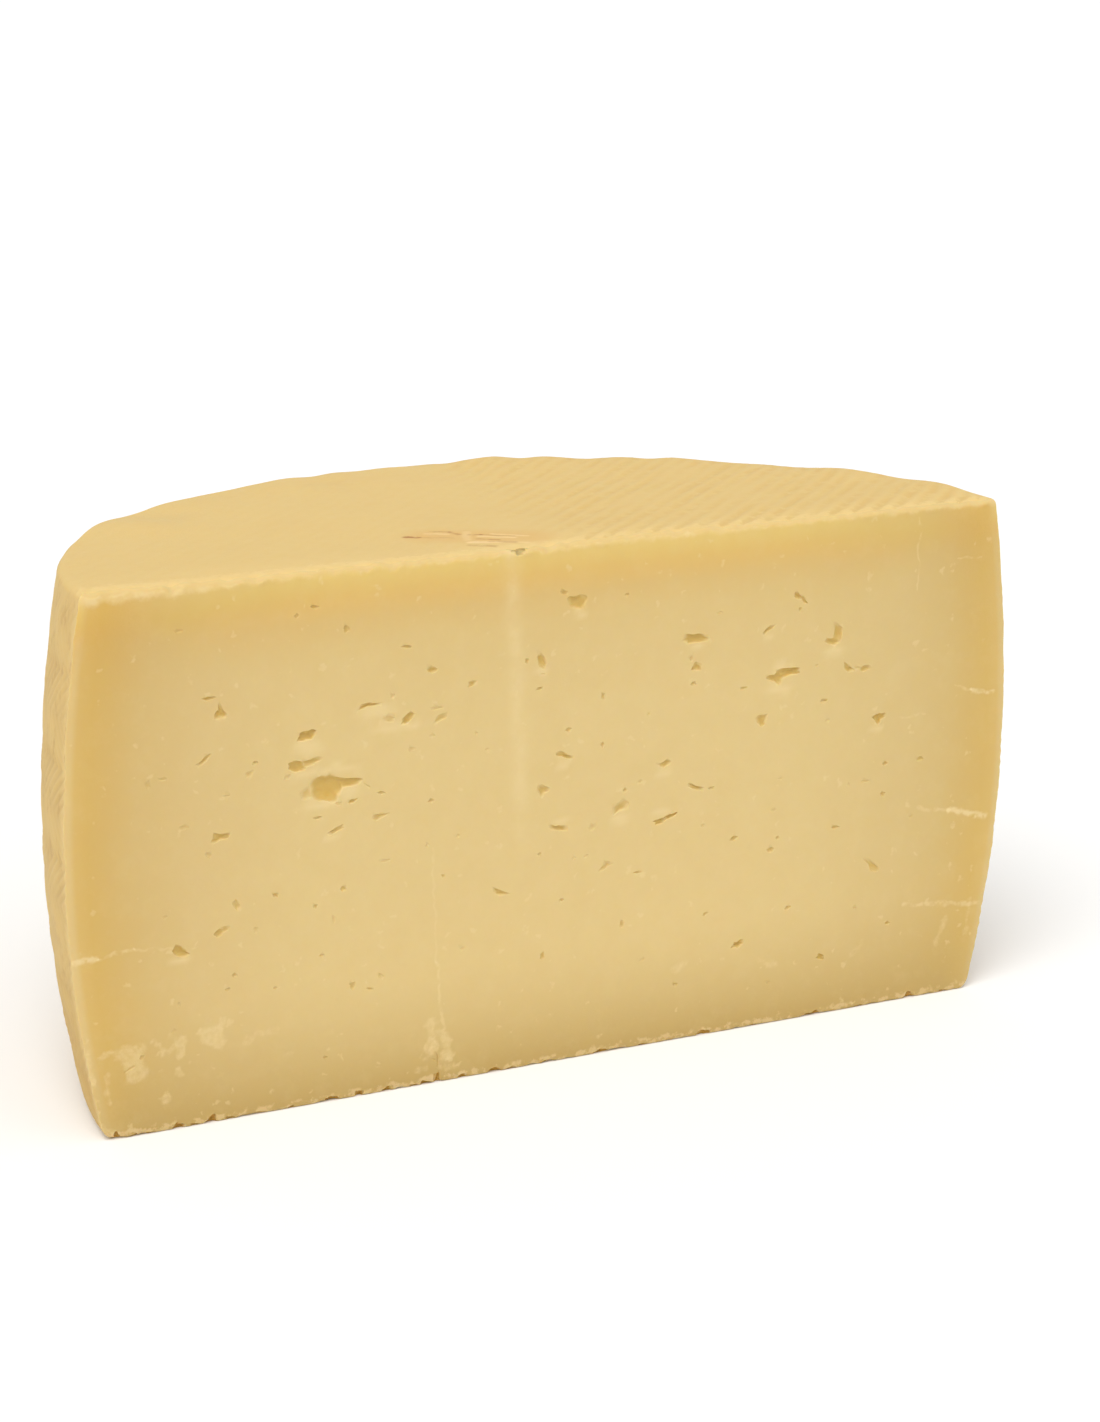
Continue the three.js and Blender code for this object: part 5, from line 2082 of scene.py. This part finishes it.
@dataclass
class HalfWheel:
    """The half wheel itself: the turned rind, trimmed to the cut, with its eyes opened."""

    wheel: WheelForm = field(default_factory=WheelForm)
    barrel: RindBarrel = field(default_factory=RindBarrel)
    sheet: WrappingSheet = field(default_factory=WrappingSheet)
    cavities: Cavities = field(default_factory=Cavities)
    belt: BeltPrint = field(default_factory=BeltPrint)
    cut: CutFace = field(default_factory=CutFace)
    crease: float = math.radians(42.0)
    merge: float = 0.004
    fray: float = 0.8
    worn_corner_lip: float = 0.9

    def tool(
        self, name: str, mesh: bmesh.types.BMesh, finishes: Sequence[bpy.types.Material]
    ) -> bpy.types.Object:
        """Makes an object of a built mesh.

        Args:
            name: Its name.
            mesh: The built mesh, which is freed.
            finishes: The materials of its slots.

        Returns:
            The object, in the scene.
        """
        data = bpy.data.meshes.new(name)
        mesh.to_mesh(data)
        mesh.free()
        for material in finishes:
            data.materials.append(material)
        made = bpy.data.objects.new(name, data)
        bpy.context.scene.collection.objects.link(made)
        return made

    def combined(self, body: bpy.types.Object, tools: Iterable[tuple[str, bpy.types.Object]]) -> None:
        """Trims or hollows the body with each tool, and removes the tools.

        Args:
            body: The object that is cut.
            tools: Each operation and its tool.
        """
        used = list(tools)
        for operation, cutter in used:
            boolean = body.modifiers.new(cutter.name, "BOOLEAN")
            boolean.operation = operation
            boolean.solver = "MANIFOLD"
            boolean.object = cutter
        graph = bpy.context.evaluated_depsgraph_get()
        cut = bpy.data.meshes.new_from_object(body.evaluated_get(graph))
        body.modifiers.clear()
        body.data = cut
        for _, cutter in used:
            bpy.data.objects.remove(cutter)

    def tidied(self, data: bpy.types.Mesh) -> None:
        """Merges the slivers that cutting leaves, drops loose points and reports the count.

        Args:
            data: The mesh, which is changed.
        """
        mesh = bmesh.new()
        mesh.from_mesh(data)
        bmesh.ops.remove_doubles(mesh, verts=mesh.verts, dist=self.merge)
        bmesh.ops.dissolve_degenerate(mesh, edges=mesh.edges, dist=self.merge)
        loose = [vert for vert in mesh.verts if not vert.link_faces]
        bmesh.ops.delete(mesh, geom=loose, context="VERTS")
        open_edges = sum(1 for edge in mesh.edges if not edge.is_manifold)
        triangles = sum(len(face.verts) - 2 for face in mesh.faces)
        counts = (len(mesh.verts), triangles, open_edges)
        LOG.info("cut body: %d points, %d triangles, %d open edges", *counts)
        mesh.to_mesh(data)
        mesh.free()

    def build(self, finishes: Sequence[bpy.types.Material]) -> bpy.types.Object:
        """Builds the finished half wheel.

        Args:
            finishes: The paste and the rind.

        Returns:
            The object.
        """
        rind = self.barrel.build()
        for face in rind.faces:
            face.material_index = Finishes.RIND
        body = self.tool("half_wheel_cheese", rind, finishes)
        tools = [("INTERSECT", self.tool("wrap", self.sheet.build(), finishes))]
        for number, mesh in enumerate(self.cavities.build()):
            tools.append(("DIFFERENCE", self.tool(f"cavities_{number}", mesh, finishes)))
        self.combined(body, tools)
        self.tidied(body.data)
        self.mark(body.data)
        body.data.transform(Matrix.Translation((0.0, self.wheel.cut_y, 0.0)))
        body.data.transform(Matrix.Scale(METRES_PER_MM, 4))
        body.data.shade_smooth()
        body.data.set_sharp_from_angle(angle=self.crease)
        return body

    def mark(self, data: bpy.types.Mesh) -> None:
        """Keeps on the mesh's points how deep in an eye they lie, and the other marks.

        Args:
            data: The mesh in the wheel's space, in millimetres.
        """
        count = len(data.vertices)
        flat = np.zeros(count * 3, np.float32)
        data.vertices.foreach_get("co", flat)
        points = flat.reshape(-1, 3).astype(np.float64)
        names = ("eye", "groove", "glow", "band", "smear", "dip", "notch")
        marks = {name: np.zeros(count) for name in names}
        frayed = np.zeros((count, 2))
        on_cut = np.zeros(count, bool)
        for number, (x, y, z) in enumerate(points.tolist()):
            lean = (self.wheel.rise_to_right * x - self.wheel.fall_to_back * y) / self.wheel.height
            level = z / (1.0 + lean)
            from_top = self.wheel.height - level
            phase = self.sheet.phase_at(x, y)
            depth = y - self.cut.recess(x, level)
            if depth < 6.0:
                on_cut[number] = True
                dip = self.sheet.scallops(x, self.sheet.phase_at(x, 0.0))
                worn = self.worn_corner_lip * eased(x, -55.0, -84.0)
                marks["dip"][number] = (dip + worn) * eased(from_top, 9.0, 4.0)
                inside = eased(from_top - dip, 1.0, 1.8)
                inside *= eased(level - self.sheet.lift(x) * eased(level, 2.5, 0.0), 0.7, 1.5)
                # This mark drives the painted shade inside the eyes.
                marks["eye"][number] = max(0.0, depth) * inside
                # This mark drives the painted shadow in the crumbled notches.
                marks["notch"][number] = self.notched(x, level) * max(0.0, depth)
                marks["band"][number] = self.cut.band_share(x, level)
                place = Vector((x * 0.45, z * 0.45, 60.0))
                fray = Vector((noise.noise(place), noise.noise(place + Vector((0.0, 0.0, 9.0)))))
                frayed[number] = fray * self.fray
            stands = math.hypot(x, y) - self.wheel.radius_at(min(self.wheel.height, level))
            if y > 0.6 and -1.0 < stands and 1.5 < level < self.wheel.height - 1.0:
                marks["groove"][number] = eased(self.belt.stands_out - stands, 0.05, 0.6)
            elif y > 0.6 and from_top < 1.5:
                low = 0.5 - 0.5 * math.cos(math.tau * phase)
                marks["groove"][number] = low * self.sheet.board.strength(phase, x, y)
        places = points[on_cut][:, (0, 2)] + frayed[on_cut]
        marks["smear"][on_cut] = sum(stroke.share(places) for stroke in SMEARS)
        # Painted highlights round the eyes.
        marks["glow"][on_cut] = sum(patch.share(places) for patch in PAINTED_HIGHLIGHTS)
        for name, values in marks.items():
            made = data.attributes.new(name, "FLOAT", "POINT")
            made.data.foreach_set("value", values.astype(np.float32))

    @staticmethod
    def notched(x: float, level: float) -> float:
        """Whether a place lies in one of the crumbled notches, as 1 or 0."""
        return float(any(
            abs(x - chip.x) < 0.6 * chip.width and abs(level - chip.z) < 0.6 * chip.height + 0.3
            for chip in CHIPS
        ))


# ---------------------------------------------------------------- the studio


@dataclass
class Studio:
    """A pale floor, soft light and the camera."""

    eye_point: tuple[float, float, float] = (-0.24194, -0.54380, 0.23377)
    yaw: float = -0.44908
    pitch: float = -0.28620
    roll: float = 0.01053
    lens: float = 75.95
    sensor: float = 36.0
    floor_size: float = 14.0
    floor_colour: Colour = (246, 246, 245)
    floor_shade: Colour = (243, 243, 242)

    def camera(self) -> None:
        """Puts the camera where the photograph was taken from."""
        data = bpy.data.cameras.new("camera")
        data.lens = self.lens
        data.sensor_width = self.sensor
        data.sensor_fit = "AUTO"
        data.clip_start, data.clip_end = 0.01, 60.0
        made = bpy.data.objects.new("camera", data)
        bpy.context.scene.collection.objects.link(made)
        turned = (
            Matrix.Rotation(self.yaw, 4, "Z")
            @ Matrix.Rotation(math.pi / 2.0 + self.pitch, 4, "X")
            @ Matrix.Rotation(self.roll, 4, "Z")
        )
        made.matrix_world = Matrix.Translation(self.eye_point) @ turned
        bpy.context.scene.camera = made

    def floor(self) -> bpy.types.Object:
        """Lays the pale floor."""
        mesh = bmesh.new()
        bmesh.ops.create_grid(mesh, x_segments=8, y_segments=8, size=self.floor_size / 2.0)
        data = bpy.data.meshes.new("floor")
        mesh.to_mesh(data)
        mesh.free()
        made = bpy.data.objects.new("floor", data)
        bpy.context.scene.collection.objects.link(made)
        material = bpy.data.materials.new("pale_floor")
        graph = Graph(material)
        cloudy = graph.grain(graph.place(), 0.004, 2.0)
        colour = graph.mixed(cloudy * 0.5, pigment(self.floor_colour), pigment(self.floor_shade))
        graph.finish({"Base Color": colour, "Roughness": 0.9, "Specular IOR Level": 0.1})
        data.materials.append(material)
        return made

    def lamp(self, name: str, strength: float, softness: float, bearing: float, climb: float) -> None:
        """Hangs one soft distant lamp.

        Args:
            name: Its name.
            strength: Its light in watts to the square metre.
            softness: Its width as seen, in degrees.
            bearing: Where it stands, in degrees to the left of straight in front of the cut.
            climb: How high it stands, in degrees.
        """
        data = bpy.data.lights.new(name, "SUN")
        data.energy = strength
        data.angle = math.radians(softness)
        made = bpy.data.objects.new(name, data)
        bpy.context.scene.collection.objects.link(made)
        made.rotation_euler = Euler(
            (math.radians(90.0 - climb), 0.0, math.radians(-bearing)), "XYZ"
        )

    def light(self) -> None:
        """Hangs the lamps and sets the pale surroundings."""
        self.lamp("key", 1.95, 40.0, 42.0, 58.0)
        self.lamp("fill", 0.45, 80.0, -30.0, 40.0)
        world = bpy.data.worlds.new("surroundings")
        world.use_nodes = True
        back = world.node_tree.nodes["Background"]
        back.inputs["Color"].default_value = (1.0, 1.0, 1.0, 1.0)
        back.inputs["Strength"].default_value = 0.55
        bpy.context.scene.world = world
        bpy.context.scene.view_settings.view_transform = "Standard"
        bpy.context.scene.view_settings.look = "None"


def main() -> None:
    """Builds the studio and the half wheel."""
    logging.basicConfig(level=logging.INFO, format="%(name)s: %(message)s")
    studio = Studio()
    studio.camera()
    studio.light()
    studio.floor()
    finishes = [PasteFinish().build(), RindFinish().build()]
    cheese = HalfWheel().build(finishes)
    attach(cheese, "root")
    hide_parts("half_wheel")
    LOG.info("%s: %d faces", cheese.name, len(cheese.data.polygons))


if __name__ == "__main__":
    main()
